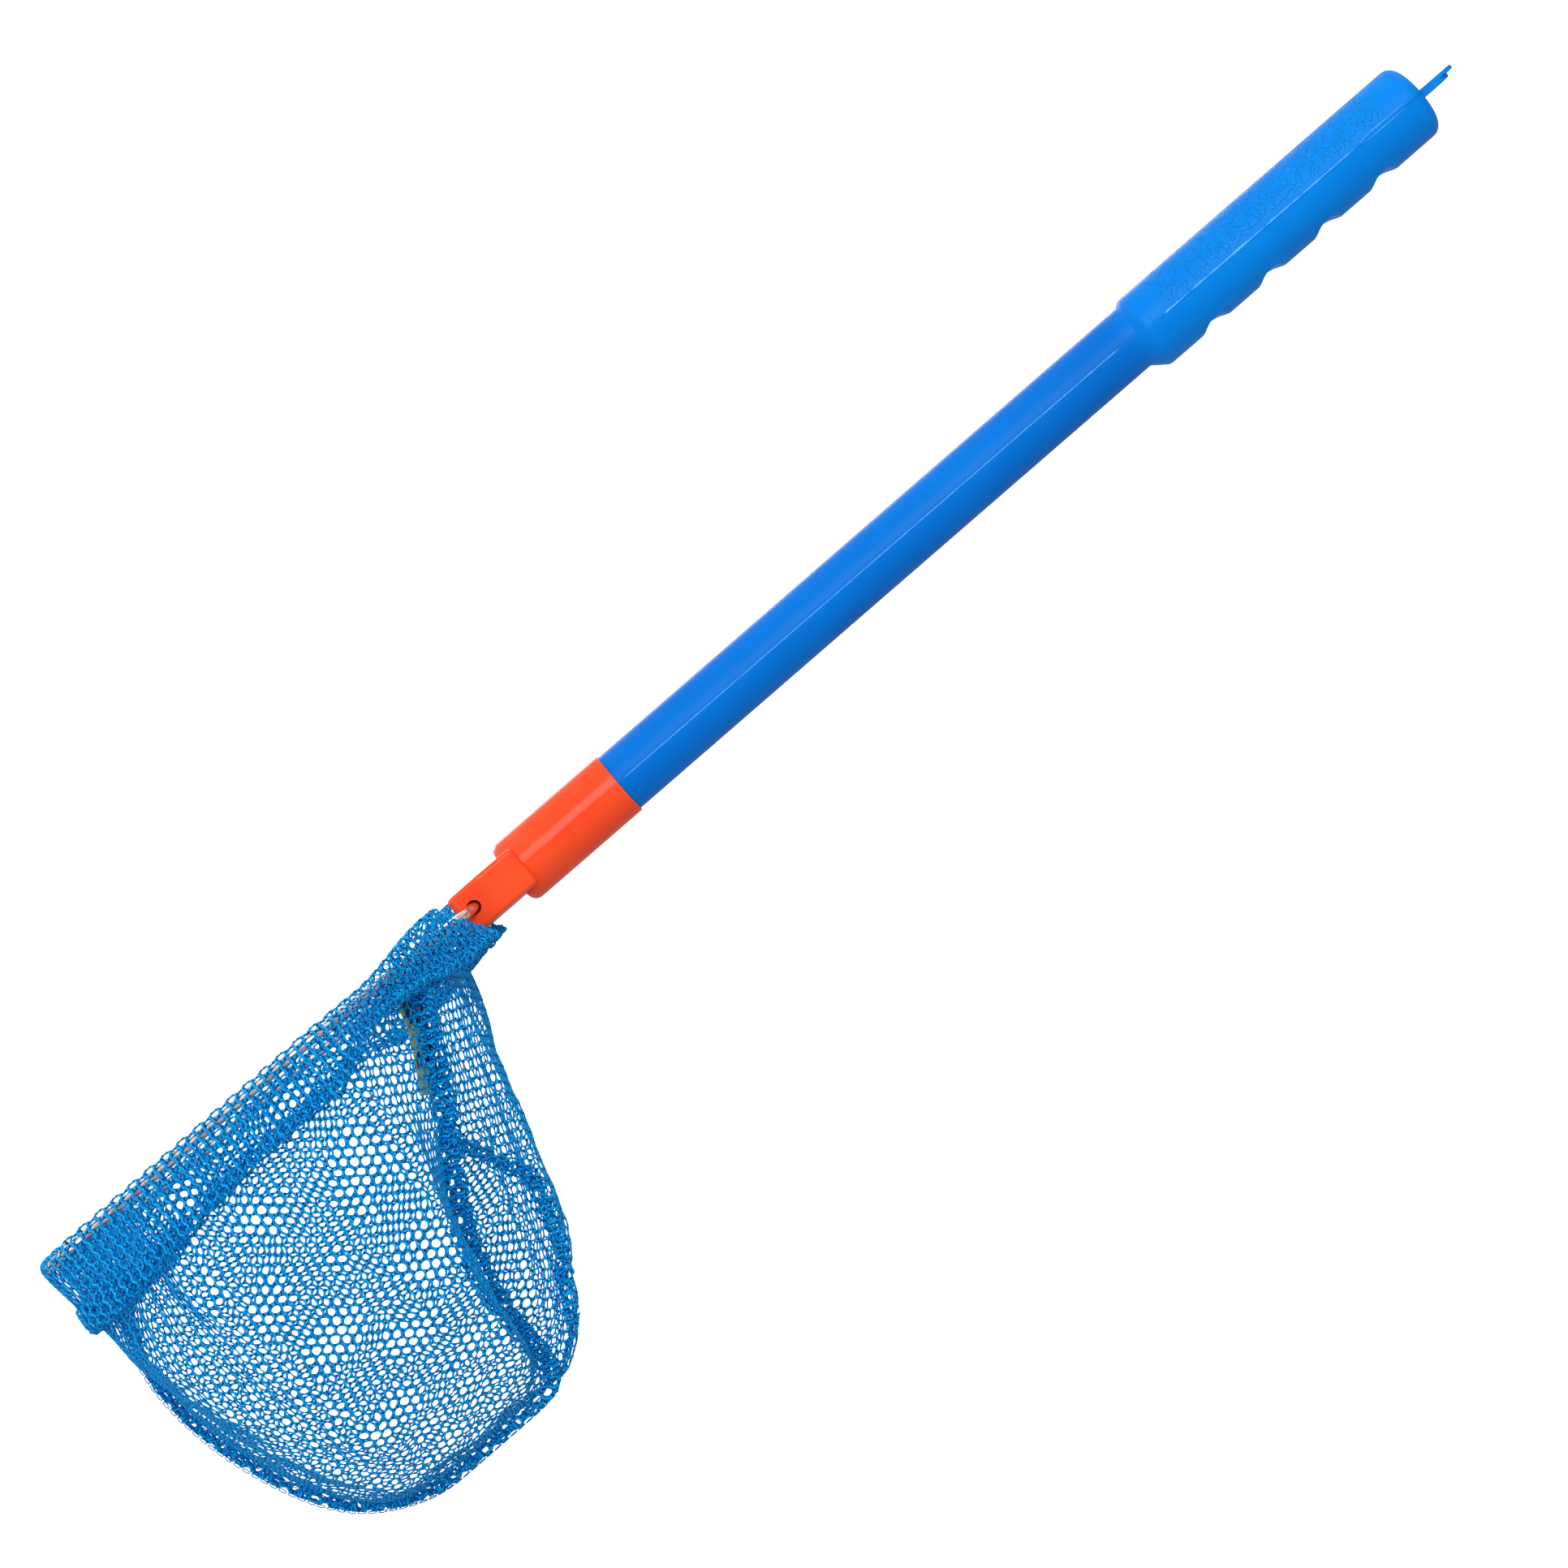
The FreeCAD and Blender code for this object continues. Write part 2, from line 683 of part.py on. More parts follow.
check_and_export([
    make_handle(),
    make_connector(),
    make_hoop_wire(),
    make_hem_casing(),
    make_net_panel("net_panel_left", -1),
    make_net_panel("net_panel_right", 1),
    make_hem_stitching(),
    make_seam_stitching(),
    make_label_part("care_label", d["label_length"], Size(0), d["label_thickness"]),
    make_label_part("label_stitching", d["label_stitch"], -STITCH_RISE, d["label_stitch"]),
])
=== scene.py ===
import math

import bpy
import numpy as np
from mathutils import Matrix, Vector, noise
from mathutils.bvhtree import BVHTree


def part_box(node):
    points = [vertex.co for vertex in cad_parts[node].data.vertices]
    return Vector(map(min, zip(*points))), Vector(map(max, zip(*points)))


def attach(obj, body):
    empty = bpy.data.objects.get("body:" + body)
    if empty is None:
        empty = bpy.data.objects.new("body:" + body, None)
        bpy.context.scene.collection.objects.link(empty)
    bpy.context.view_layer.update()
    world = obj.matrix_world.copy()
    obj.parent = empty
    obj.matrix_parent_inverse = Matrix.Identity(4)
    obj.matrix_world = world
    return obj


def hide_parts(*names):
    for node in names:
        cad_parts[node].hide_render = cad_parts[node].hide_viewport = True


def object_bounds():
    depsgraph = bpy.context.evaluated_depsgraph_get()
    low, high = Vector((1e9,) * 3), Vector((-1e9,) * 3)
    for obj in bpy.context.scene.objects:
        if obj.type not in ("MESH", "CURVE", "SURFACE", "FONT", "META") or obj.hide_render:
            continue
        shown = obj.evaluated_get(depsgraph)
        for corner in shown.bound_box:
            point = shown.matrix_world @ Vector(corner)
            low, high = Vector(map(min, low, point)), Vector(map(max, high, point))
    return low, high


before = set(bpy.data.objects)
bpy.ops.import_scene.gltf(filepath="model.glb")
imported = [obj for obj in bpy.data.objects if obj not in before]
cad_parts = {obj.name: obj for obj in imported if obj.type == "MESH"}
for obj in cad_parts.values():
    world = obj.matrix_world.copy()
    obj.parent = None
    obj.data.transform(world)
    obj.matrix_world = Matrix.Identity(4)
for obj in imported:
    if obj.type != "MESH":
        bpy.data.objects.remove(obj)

# Leaf skimmer net. The handle, connector and wire are the frame's own nodes. The knitted bag, its
# casing, its threads and its label are built here strand by strand. Lengths in this file are in
# millimetres in the frame's axes, and MM turns them into metres.

MM = 0.001
CAD_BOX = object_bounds()
BODY = "root"

# The wire, in plan: a straight front, two sides, and two legs that slant in to the connector.
WIRE_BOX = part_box("hoop_wire")
CONNECTOR_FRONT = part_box("connector")[0].x / MM
WIRE_RADIUS = (WIRE_BOX[1].z - WIRE_BOX[0].z) / 2 / MM
HOOP_FRONT = WIRE_BOX[0].x / MM + WIRE_RADIUS
HOOP_HALF = WIRE_BOX[1].y / MM - WIRE_RADIUS
LEG_ANGLE = math.radians(56.0)
EXIT_HALF = 13.0  # each leg enters the connector this far from the middle
EXIT_X = CONNECTOR_FRONT + 5.9
FRONT_ROUND = 18.0
REAR_ROUND = 25.0
ARC_STEP = 1.0
INSIDE_HOOP = np.array([-400.0, 0.0])

CELL_SIDE = 1.95  # side of one knitted hexagon
NEAR_SIDE, FAR_SIDE = 1.91, 2.02  # the two panels are stretched a little differently
CUT_TURN = math.radians(10.0)  # the panels were cut at this angle to the rows of the net
KNOT_HALF, KNOT_THICK = 0.50, 0.34  # half width and half thickness where three strands meet
STRAND_HALF, STRAND_THICK = 0.34, 0.25  # the same at a strand's middle
KNOT_SCATTER, STRAND_SCATTER = 0.13, 0.06  # how unevenly the yarn lies


# ---------------- curves and surfaces


def smooth_step(x, low, high):
    """0 below low, 1 above high, and smooth between them."""
    t = np.clip((np.asarray(x, float) - low) / (high - low), 0.0, 1.0)
    return t * t * (3 - 2 * t)


def unit(vectors):
    """The same directions with length 1."""
    return vectors / np.maximum(np.linalg.norm(vectors, axis=-1, keepdims=True), 1e-9)


def pairs(first, second):
    """Two arrays of numbers as one array of pairs."""
    return np.stack(np.broadcast_arrays(first, second), axis=-1)


class Path:
    """A polyline that is read by distance along it."""

    def __init__(self, points):
        self.points = np.array(points, float)
        steps = np.linalg.norm(np.diff(self.points, axis=0), axis=1)
        self.at_point = np.concatenate([[0.0], np.cumsum(steps)])
        self.length = self.at_point[-1]

    def read(self, values, distance):
        """Values given at the polyline's points, read at other distances."""
        return np.stack([np.interp(distance, self.at_point, c) for c in values.T], axis=-1)

    def place(self, distance):
        return self.read(self.points, distance)

    def heading(self, distance, span=1.5):
        return unit(self.place(distance + span) - self.place(distance - span))


def rounded(corners):
    """Points along straight runs joined by arcs. A corner is (x, y) or (x, y, radius)."""
    points = [np.array(corners[0][:2], float)]
    for before, corner, after in zip(corners, corners[1:], corners[2:]):
        here = np.array(corner[:2], float)
        back = unit(np.array(before[:2], float) - here)
        ahead = unit(np.array(after[:2], float) - here)
        radius = corner[2] if len(corner) > 2 else 0.0
        if not radius:
            points.append(here)
            continue
        half = math.acos(float(np.clip(back @ ahead, -1, 1))) / 2
        centre = here + unit(back + ahead) * radius / math.sin(half)
        start = here + back * radius / math.tan(half) - centre
        end = here + ahead * radius / math.tan(half) - centre
        turn = math.pi - 2 * half
        count = max(3, int(radius * turn / ARC_STEP))
        for i in range(count + 1):
            share = i / count
            blend = start * math.sin((1 - share) * turn) + end * math.sin(share * turn)
            points.append(centre + blend / math.sin(turn))
    points.append(np.array(corners[-1][:2], float))
    return points


def leg_x(half):
    """Where a leg of the wire is, at this distance from the middle."""
    return EXIT_X - (half - EXIT_HALF) / math.tan(LEG_ANGLE)


HALF_HOOP = Path(rounded([
    (HOOP_FRONT, 0.0),
    (HOOP_FRONT, -HOOP_HALF, FRONT_ROUND),
    (leg_x(HOOP_HALF), -HOOP_HALF, REAR_ROUND),
    (leg_x(EXIT_HALF), -EXIT_HALF),
]))
FRONT_CORNER_AT = HOOP_HALF - FRONT_ROUND + FRONT_ROUND * math.pi / 4
SIDE_RUN = abs(HOOP_FRONT - leg_x(HOOP_HALF))
REAR_CORNER_AT = FRONT_CORNER_AT + SIDE_RUN * 0.95


def spline_rows(table, count):
    """Catmull-Rom rows through the rows of a table, evenly shared between them."""
    table = np.array(table, float)
    padded_rows = np.vstack([2 * table[0] - table[1], table, 2 * table[-1] - table[-2]])
    at = np.linspace(0, len(table) - 1, count)
    first = np.minimum(at.astype(int), len(table) - 2)
    t = (at - first)[:, None]
    a, b, c, e = (padded_rows[first + k] for k in range(4))
    square, cube = 2 * a - 5 * b + 4 * c - e, 3 * b - a - 3 * c + e
    return 0.5 * (2 * b + (c - a) * t + square * t**2 + cube * t**3)


def soften(grid, passes, axis):
    """Rounds a grid of points along one axis, keeping its two end lines."""
    grid = np.moveaxis(grid, axis, 0).copy()
    for _ in range(passes):
        grid[1:-1] = grid[:-2] * 0.25 + grid[1:-1] * 0.5 + grid[2:] * 0.25
    return np.moveaxis(grid, 0, axis)


def grid_normals(grid):
    """Unit normals of a surface at its grid points."""
    return unit(np.cross(np.gradient(grid, axis=1), np.gradient(grid, axis=0)))


def ripple(points, size, seed):
    """Smooth noise, one value for each point."""
    flat = points.reshape(-1, points.shape[-1])
    shift = Vector((seed * 17.3, seed * 5.1, seed * 9.7))
    values = [noise.noise(Vector([*p, 0.0][:3]) / size + shift) for p in flat]
    return np.array(values).reshape(points.shape[:-1])


# ---------------- meshes


def new_object(name, data):
    made = bpy.data.objects.new(name, data)
    bpy.context.scene.collection.objects.link(made)
    return made


def add_piece(name, vertices, faces, material):
    """A smooth-shaded object from vertices in millimetres."""
    mesh = bpy.data.meshes.new(name)
    mesh.from_pydata((np.asarray(vertices) * MM).tolist(), [], [list(f) for f in faces])
    mesh.update()
    mesh.polygons.foreach_set("use_smooth", [True] * len(mesh.polygons))
    mesh.materials.append(material)
    return new_object(name, mesh)


def belongs(piece, replaced=None):
    """Every piece rides the one body, and may stand for a node of the frame."""
    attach(piece, BODY)
    if replaced:
        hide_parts(replaced)


def grid_faces(rows, columns):
    first = (np.arange(rows - 1)[:, None] * columns + np.arange(columns - 1)).reshape(-1)
    return np.stack([first, first + 1, first + columns + 1, first + columns], axis=1)


class Cloth:
    """A surface in space together with the flat cloth that it was cut from."""

    def __init__(self, grid, flat):
        self.points = grid.reshape(-1, 3)
        self.normals = grid_normals(grid).reshape(-1, 3)
        quads = grid_faces(*grid.shape[:2])
        self.triangles = np.vstack([quads[:, [0, 1, 2]], quads[:, [0, 2, 3]]])
        self.flat = flat.reshape(-1, 2)
        level = np.hstack([self.flat, np.zeros((len(self.flat), 1))])
        self.tree = BVHTree.FromPolygons(level.tolist(), self.triangles.tolist())
        a, b, c = (self.points[self.triangles[:, k]] for k in range(3))
        self.area = np.linalg.norm(np.cross(b - a, c - a), axis=1).sum() / 2

    def find(self, spots):
        """Where flat spots lie in space: (points, normals, distance from the cloth)."""
        hits = [self.tree.find_nearest(Vector((x, y, 0.0))) for x, y in spots]
        near = np.array([h[0][:2] for h in hits])
        corners = self.triangles[np.array([h[2] for h in hits])]
        a, b, c = (self.flat[corners[:, k]] for k in range(3))
        whole = np.cross(b - a, c - a)
        whole = np.where(np.abs(whole) < 1e-9, 1e-9, whole)
        wb = np.cross(near - a, c - a) / whole
        wc = np.cross(b - a, near - a) / whole
        weights = np.stack([1 - wb - wc, wb, wc], axis=1)[:, :, None]
        points = (self.points[corners] * weights).sum(axis=1)
        normals = unit((self.normals[corners] * weights).sum(axis=1))
        return points, normals, np.linalg.norm(np.array(spots) - near, axis=1)


# A hexagon's corners from its centre, in half sides along and in half heights across.
HEX_CORNERS = ((2, 0), (1, 1), (-1, 1), (-2, 0), (-1, -1), (1, -1))
ON_CLOTH = 0.02  # a corner further than this from the cloth is off its edge


def knit(cloth, seed, side=CELL_SIDE, turn=0.0, thin=1.0, keep=None):
    """Vertices and faces of a knitted net of hexagons over a cloth. With no turn, two corners of
    each hexagon point along the cloth's first flat axis. Thin scales the yarn's width, and keep
    says where there is a net."""
    draw = np.random.default_rng(seed)
    halves = np.array([side / 2, side * math.sqrt(3) / 2])
    rotate = np.array([[math.cos(turn), math.sin(turn)], [-math.sin(turn), math.cos(turn)]])
    low, high = cloth.flat.min(axis=0), cloth.flat.max(axis=0)
    middle, reach = (low + high) / 2, np.linalg.norm(high - low) / 2 + side * 2
    nodes, edges, centres = {}, {}, []
    across, down = int(reach / (1.5 * side)) + 1, int(reach / (side * math.sqrt(3))) + 1
    for i in range(-across, across + 1):
        for j in range(-down, down + 1):
            key = np.array([3 * i, 2 * j + i % 2])
            centre = (key * halves) @ rotate + middle
            if (centre < low - side).any() or (centre > high + side).any():
                continue
            cell = len(centres)
            centres.append(centre)
            ring = [nodes.setdefault((key[0] + x, key[1] + y), len(nodes)) for x, y in HEX_CORNERS]
            for k in range(6):
                a, b = ring[k], ring[(k + 1) % 6]
                edges.setdefault((min(a, b), max(a, b)), []).append(cell)
    centres = np.array(centres)
    spots = (np.array(list(nodes)) * halves) @ rotate + middle
    points, _, away = cloth.find(spots)
    inside = away < ON_CLOTH
    if keep is not None:
        inside &= keep(points)
    spots = spots + draw.normal(0, KNOT_SCATTER, spots.shape)
    kept = [(e, c) for e, c in edges.items() if inside[e[0]] and inside[e[1]] and len(c) == 2]
    ends, cells = (np.array(column) for column in zip(*kept))
    return knit_mesh(cloth, spots, centres, ends, cells, thin, draw)


def knit_mesh(cloth, spots, centres, ends, cells, thin, draw):
    """Each strand is a four-cornered tube, thin at its middle and thick where three strands meet.
    Ends holds each strand's two spots, and cells the two hexagons beside it."""
    used = np.unique(ends)
    slot_of = np.full(len(spots), -1)
    slot_of[used] = np.arange(len(used))
    middles = (spots[ends[:, 0]] + spots[ends[:, 1]]) / 2
    middles = middles + draw.normal(0, STRAND_SCATTER, middles.shape)
    knot_reach = KNOT_HALF * thin * 1.155  # to the knot's corner between two strands

    corner_slots, corner_spots = {}, []

    def corner(node, cell):
        key = (node, cell)
        if key not in corner_slots:
            corner_slots[key] = len(corner_spots)
            inward = unit(centres[cell] - spots[node])
            corner_spots.append(spots[node] + inward * knot_reach)
        return corner_slots[key]

    corner_ids = np.array([
        [corner(n, c) for n in pair for c in both] for pair, both in zip(ends, cells)
    ])
    sides = []
    for k in range(2):
        inward = unit(centres[cells[:, k]] - middles)
        sides.append(middles + inward * STRAND_HALF * thin)

    groups = [
        (spots[used], KNOT_THICK), (spots[used], -KNOT_THICK), (np.array(corner_spots), 0.0),
        (middles, STRAND_THICK), (middles, -STRAND_THICK), (sides[0], 0.0), (sides[1], 0.0),
    ]
    vertices, starts, total = [], [], 0
    for flat_spots, lift in groups:
        points, normals, _ = cloth.find(flat_spots)
        vertices.append(points + normals * lift * thin)
        starts.append(total)
        total += len(points)
    top, bottom, corners, mid_top, mid_bottom, mid_left, mid_right = starts
    index = np.arange(len(ends))
    faces = []
    for end in range(2):
        node = slot_of[ends[:, end]]
        left, right = corners + corner_ids[:, end * 2], corners + corner_ids[:, end * 2 + 1]
        ring_node = [top + node, left, bottom + node, right]
        ring_mid = [mid_top + index, mid_left + index, mid_bottom + index, mid_right + index]
        for k in range(4):
            n = (k + 1) % 4
            faces.append(np.stack([ring_node[k], ring_mid[k], ring_mid[n], ring_node[n]], axis=1))
    faces = np.vstack(faces)
    # The second ends of the strands run the other way, so their faces are turned round.
    half = len(faces) // 2
    return np.vstack(vertices), np.vstack([faces[:half], faces[half:, ::-1]])


def join_parts(*parts):
    vertices, faces, total = [], [], 0
    for part_vertices, part_faces in parts:
        vertices.append(part_vertices)
        faces.append(part_faces + total)
        total += len(part_vertices)
    return np.vstack(vertices), np.vstack(faces)


def flatten(grid, name):
    """Flat places of a surface's grid points, with as little stretch as possible."""
    rows, columns = grid.shape[:2]
    mesh = bpy.data.meshes.new(name)
    mesh.from_pydata(grid.reshape(-1, 3).tolist(), [], grid_faces(rows, columns).tolist())
    mesh.uv_layers.new(name="flat")
    piece = new_object(name, mesh)
    bpy.context.view_layer.objects.active = piece
    piece.select_set(True)
    bpy.ops.object.mode_set(mode="EDIT")
    bpy.ops.mesh.select_all(action="SELECT")
    bpy.ops.uv.unwrap(method="MINIMUM_STRETCH", iterations=30, margin=0.0)
    bpy.ops.object.mode_set(mode="OBJECT")
    at_loop = np.zeros(len(mesh.loops) * 2)
    mesh.uv_layers[0].uv.foreach_get("vector", at_loop)
    vertex = np.zeros(len(mesh.loops), int)
    mesh.loops.foreach_get("vertex_index", vertex)
    flat = np.zeros((rows * columns, 2))
    flat[vertex] = at_loop.reshape(-1, 2)
    bpy.data.objects.remove(piece)
    return flat.reshape(rows, columns, 2)


def lay_flat(grid, name, level_row, level_from, level_to):
    """Flat places, turned so that one stretch of a row runs along the first axis."""
    flat = flatten(grid, name)
    across = np.cross(grid[:-1, 1:] - grid[:-1, :-1], grid[1:, :-1] - grid[:-1, :-1])
    area = np.linalg.norm(across, axis=2).sum()
    along, down = flat[:-1, 1:] - flat[:-1, :-1], flat[1:, :-1] - flat[:-1, :-1]
    flat_area = (along[..., 0] * down[..., 1] - along[..., 1] * down[..., 0]).sum()
    flat = flat * math.sqrt(area / abs(flat_area))
    if flat_area > 0:
        flat = flat * [1, -1]
    run = flat[level_row, level_to] - flat[level_row, level_from]
    angle = math.atan2(run[1], run[0])
    turn = np.array([[math.cos(angle), -math.sin(angle)], [math.sin(angle), math.cos(angle)]])
    return flat @ turn


# ---------------- materials


def fill(tree, node, inputs):
    """Sets a node's inputs, or links them to other nodes' outputs; an underscore in a name
    stands for a space."""
    for name, value in inputs.items():
        socket = node.inputs[name.replace("_", " ")]
        if isinstance(value, bpy.types.NodeSocket):
            tree.links.new(value, socket)
        else:
            socket.default_value = value


def new_material(name, **inputs):
    material = bpy.data.materials.new(name)
    material.use_nodes = True
    tree = material.node_tree
    shader = tree.nodes["Principled BSDF"]
    fill(tree, shader, inputs)
    return material, tree, shader


def node_of(tree, kind, **inputs):
    node = tree.nodes.new("ShaderNode" + kind)
    fill(tree, node, inputs)
    return node


def object_places(tree):
    return node_of(tree, "TexCoord").outputs["Object"]


def object_noise(tree, scale, detail, stretch=(1, 1, 1)):
    """Noise in the object's own millimetres; scale is in features per millimetre."""
    shift = node_of(tree, "Mapping", Vector=object_places(tree), Scale=[s / MM for s in stretch])
    made = node_of(tree, "TexNoise", Vector=shift.outputs["Vector"], Scale=scale, Detail=detail)
    return made.outputs["Fac"]


def colour_ramp(tree, source, stops):
    """The stops' colours in turn as the source rises."""
    ramp = node_of(tree, "ValToRGB", Fac=source)
    while len(ramp.color_ramp.elements) < len(stops):
        ramp.color_ramp.elements.new(0.5)
    for element, (at, colour) in zip(ramp.color_ramp.elements, stops):
        element.position = at
        element.color = (*colour, 1.0)
    return ramp.outputs["Color"]


def paint(tree, shader, source, stops):
    fill(tree, shader, {"Base Color": colour_ramp(tree, source, stops)})


def add_bump(tree, shader, height, strength, distance):
    bump = node_of(tree, "Bump", Strength=strength, Distance=distance * MM, Height=height)
    fill(tree, shader, {"Normal": bump.outputs["Normal"]})


def mapped(tree, value, low, high, start=0.0, end=1.0):
    """A value that goes smoothly from start to end while the input goes from low to high."""
    node = node_of(
        tree, "MapRange", Value=value, From_Min=low, From_Max=high, To_Min=start, To_Max=end)
    node.interpolation_type = "SMOOTHSTEP"
    return node.outputs["Result"]


def calculated(tree, operation, first, second=0.0):
    """One step of arithmetic; each value is a number or a node's output."""
    node = tree.nodes.new("ShaderNodeMath")
    node.operation = operation
    for socket, value in zip(node.inputs, (first, second)):
        if isinstance(value, (int, float)):
            socket.default_value = value
        else:
            tree.links.new(value, socket)
    return node.outputs["Value"]


def mixed(tree, factor, first, second):
    """A colour between two."""
    mix = tree.nodes.new("ShaderNodeMix")
    mix.data_type = "RGBA"
    fill(tree, mix, {"Factor": factor, "A": first, "B": second})
    return mix.outputs["Result"]


def yarn_material(name, dark, middle, light):
    """Twisted nylon yarn, uneven in colour along its length."""
    material, tree, shader = new_material(name, Roughness=0.42, Specular_IOR_Level=0.14)
    fibre = object_noise(tree, scale=1.6, detail=3.0)
    paint(tree, shader, fibre, [(0.3, dark), (0.5, middle), (0.72, light)])
    twist = object_noise(tree, scale=4.0, detail=2.0)
    add_bump(tree, shader, twist, strength=0.6, distance=0.25)
    return material


TUBE_BLUES = [(0.3, (0, 0.150, 0.60)), (0.7, (0, 0.18, 0.68))]
GRIP_BLUES = [(0.3, (0, 0.205, 0.74)), (0.7, (0, 0.24, 0.80))]
# The parting lines' blue, painted lighter than the grip's: a painted highlight.
PAINTED_HIGHLIGHT_BLUES = [(0.3, (0.0, 0.30, 0.86)), (0.7, (0.06, 0.46, 0.95))]
GRAIN_BLUE = (0.02, 0.36, 0.95, 1.0)
ORANGES = [(0.3, (0.96, 0.064, 0.014)), (0.7, (1.0, 0.086, 0.020))]
STEELS = [(0.35, (0.45, 0.47, 0.5)), (0.6, (0.93, 0.93, 0.95))]

GRIP_STARTS = (-62.0, -50.0)  # x over which the tube's colour turns into the grip's
GRAIN_STARTS = (-45.0, -41.0)  # x over which the grain comes in
GRAIN_STOPS = (41.0, 37.0)  # and goes out
GRAIN_ABOVE = (0.2, 1.6)  # z over which it comes in
GRAIN_WIDTH = 0.035  # of one worm, as a share of the noise's height


def handle_material():
    """Moulded plastic: the grip is paler than the tube and has a worm-like grain on its top."""
    material, tree, shader = new_material("blue_plastic", Roughness=0.34, Specular_IOR_Level=0.07)
    axes = node_of(tree, "SeparateXYZ", Vector=object_places(tree)).outputs

    def band(axis, limits):
        return mapped(tree, axes[axis], limits[0] * MM, limits[1] * MM)

    def product(first, second):
        return calculated(tree, "MULTIPLY", first, second)

    cloud = object_noise(tree, scale=0.05, detail=3.0, stretch=(0.4, 1, 1))
    tube_colour = colour_ramp(tree, cloud, TUBE_BLUES)
    grip_colour = colour_ramp(tree, cloud, GRIP_BLUES)
    colour = mixed(tree, band("X", GRIP_STARTS), tube_colour, grip_colour)

    # A worm runs wherever the noise is close to its middle.
    worm = object_noise(tree, scale=0.42, detail=1.0)
    away = calculated(tree, "ABSOLUTE", calculated(tree, "SUBTRACT", worm, 0.5))
    line = mapped(tree, away, 0.0, GRAIN_WIDTH, 1.0, 0.0)
    along = product(band("X", GRAIN_STARTS), band("X", GRAIN_STOPS))
    grain = product(line, product(along, band("Z", GRAIN_ABOVE)))
    fill(tree, shader, {"Base Color": mixed(tree, product(grain, 0.4), colour, GRAIN_BLUE)})

    fine = object_noise(tree, scale=2.2, detail=3.0)
    scratch = object_noise(tree, scale=1.4, detail=2.0, stretch=(0.05, 1, 1))
    height = calculated(tree, "ADD", grain, product(fine, 0.22))
    height = calculated(tree, "ADD", height, product(scratch, 0.12))
    add_bump(tree, shader, height, strength=0.8, distance=0.3)
    return material


def ridge_material():
    """Smooth, glossy parting lines catch the light; their lighter blue is a painted highlight."""
    material, tree, shader = new_material(
        "blue_plastic_painted_highlight", Roughness=0.16, Specular_IOR_Level=0.7)
    cloud = object_noise(tree, scale=0.4, detail=3.0, stretch=(0.3, 1, 1))
    paint(tree, shader, cloud, PAINTED_HIGHLIGHT_BLUES)
    add_bump(tree, shader, cloud, strength=0.2, distance=0.1)
    return material


def connector_material():
    """Glossy moulded plastic with slight flow marks."""
    material, tree, shader = new_material("orange_plastic", Roughness=0.2, Specular_IOR_Level=0.2)
    cloud = object_noise(tree, scale=0.06, detail=3.0)
    paint(tree, shader, cloud, ORANGES)
    fine = object_noise(tree, scale=1.5, detail=3.0, stretch=(0.5, 1, 1))
    flow = object_noise(tree, scale=0.12, detail=2.0)
    height = calculated(tree, "ADD", calculated(tree, "MULTIPLY", fine, 0.12), flow)
    add_bump(tree, shader, height, strength=0.35, distance=0.2)
    return material


def steel_material():
    """Polished wire with faint, uneven drawing marks."""
    material, tree, shader = new_material("polished_wire", Metallic=1.0, Roughness=0.14)
    drawn = object_noise(tree, scale=0.5, detail=3.0)
    paint(tree, shader, drawn, STEELS)
    add_bump(tree, shader, drawn, strength=0.15, distance=0.1)
    return material


NET_YARN = yarn_material("net_yarn", (0.0, 0.20, 0.68), (0.0, 0.36, 0.88), (0.0, 0.54, 1.0))
THREAD_YARN = yarn_material("thread_yarn", (0.0, 0.14, 0.52), (0.0, 0.24, 0.70), (0.0, 0.36, 0.86))
BLUE_PLASTIC = handle_material()
# The parting lines' material, whose lighter blue is a painted highlight.
BLUE_PAINTED_HIGHLIGHT = ridge_material()
ORANGE_PLASTIC = connector_material()
WIRE_STEEL = steel_material()


# ---------------- bag

# Outline of the bag at each depth: depth, the front seam's x, the front corners' (x, half width),
# the rear corners' (x, half width), the left rear seam's (x, y), the rear end's (x, half width).
BAG_LEVELS = (
    (16.0, -455.0, -455.0, 79.6, -352.0, 79.6, -330.8, -44.0, -325.0, 32.0),
    (33.0, -463.0, -452.0, 75.5, -357.0, 76.0, -344.8, -39.0, -329.8, 22.0),
    (50.0, -465.0, -447.5, 69.5, -361.0, 70.0, -358.4, -33.0, -335.2, 15.0),
    (68.0, -463.0, -443.0, 61.0, -364.0, 62.0, -369.4, -26.0, -341.2, 11.0),
    (86.0, -457.5, -439.5, 50.0, -369.0, 51.0, -376.0, -16.0, -347.4, 8.0),
    (101.0, -450.0, -435.0, 36.0, -374.0, 36.0, -377.5, -8.0, -357.0, 5.0),
    (111.0, -440.0, -429.0, 21.0, -381.0, 21.0, -378.5, -3.0, -365.0, 3.0),
    (117.0, -428.0, -421.0, 8.0, -388.0, 8.0, -380.0, -1.0, -373.0, 1.5),
    (118.4, -421.0, -417.0, 0.4, -394.0, 0.4, -383.0, 0.0, -380.0, 0.3),
)
BAG_ROWS = 56
HEM_BLEND = 10  # rows over which the bag passes from its edge in the casing to this outline
SEAM_HALF_GAP = 0.45  # each panel's distance from the middle of the seam

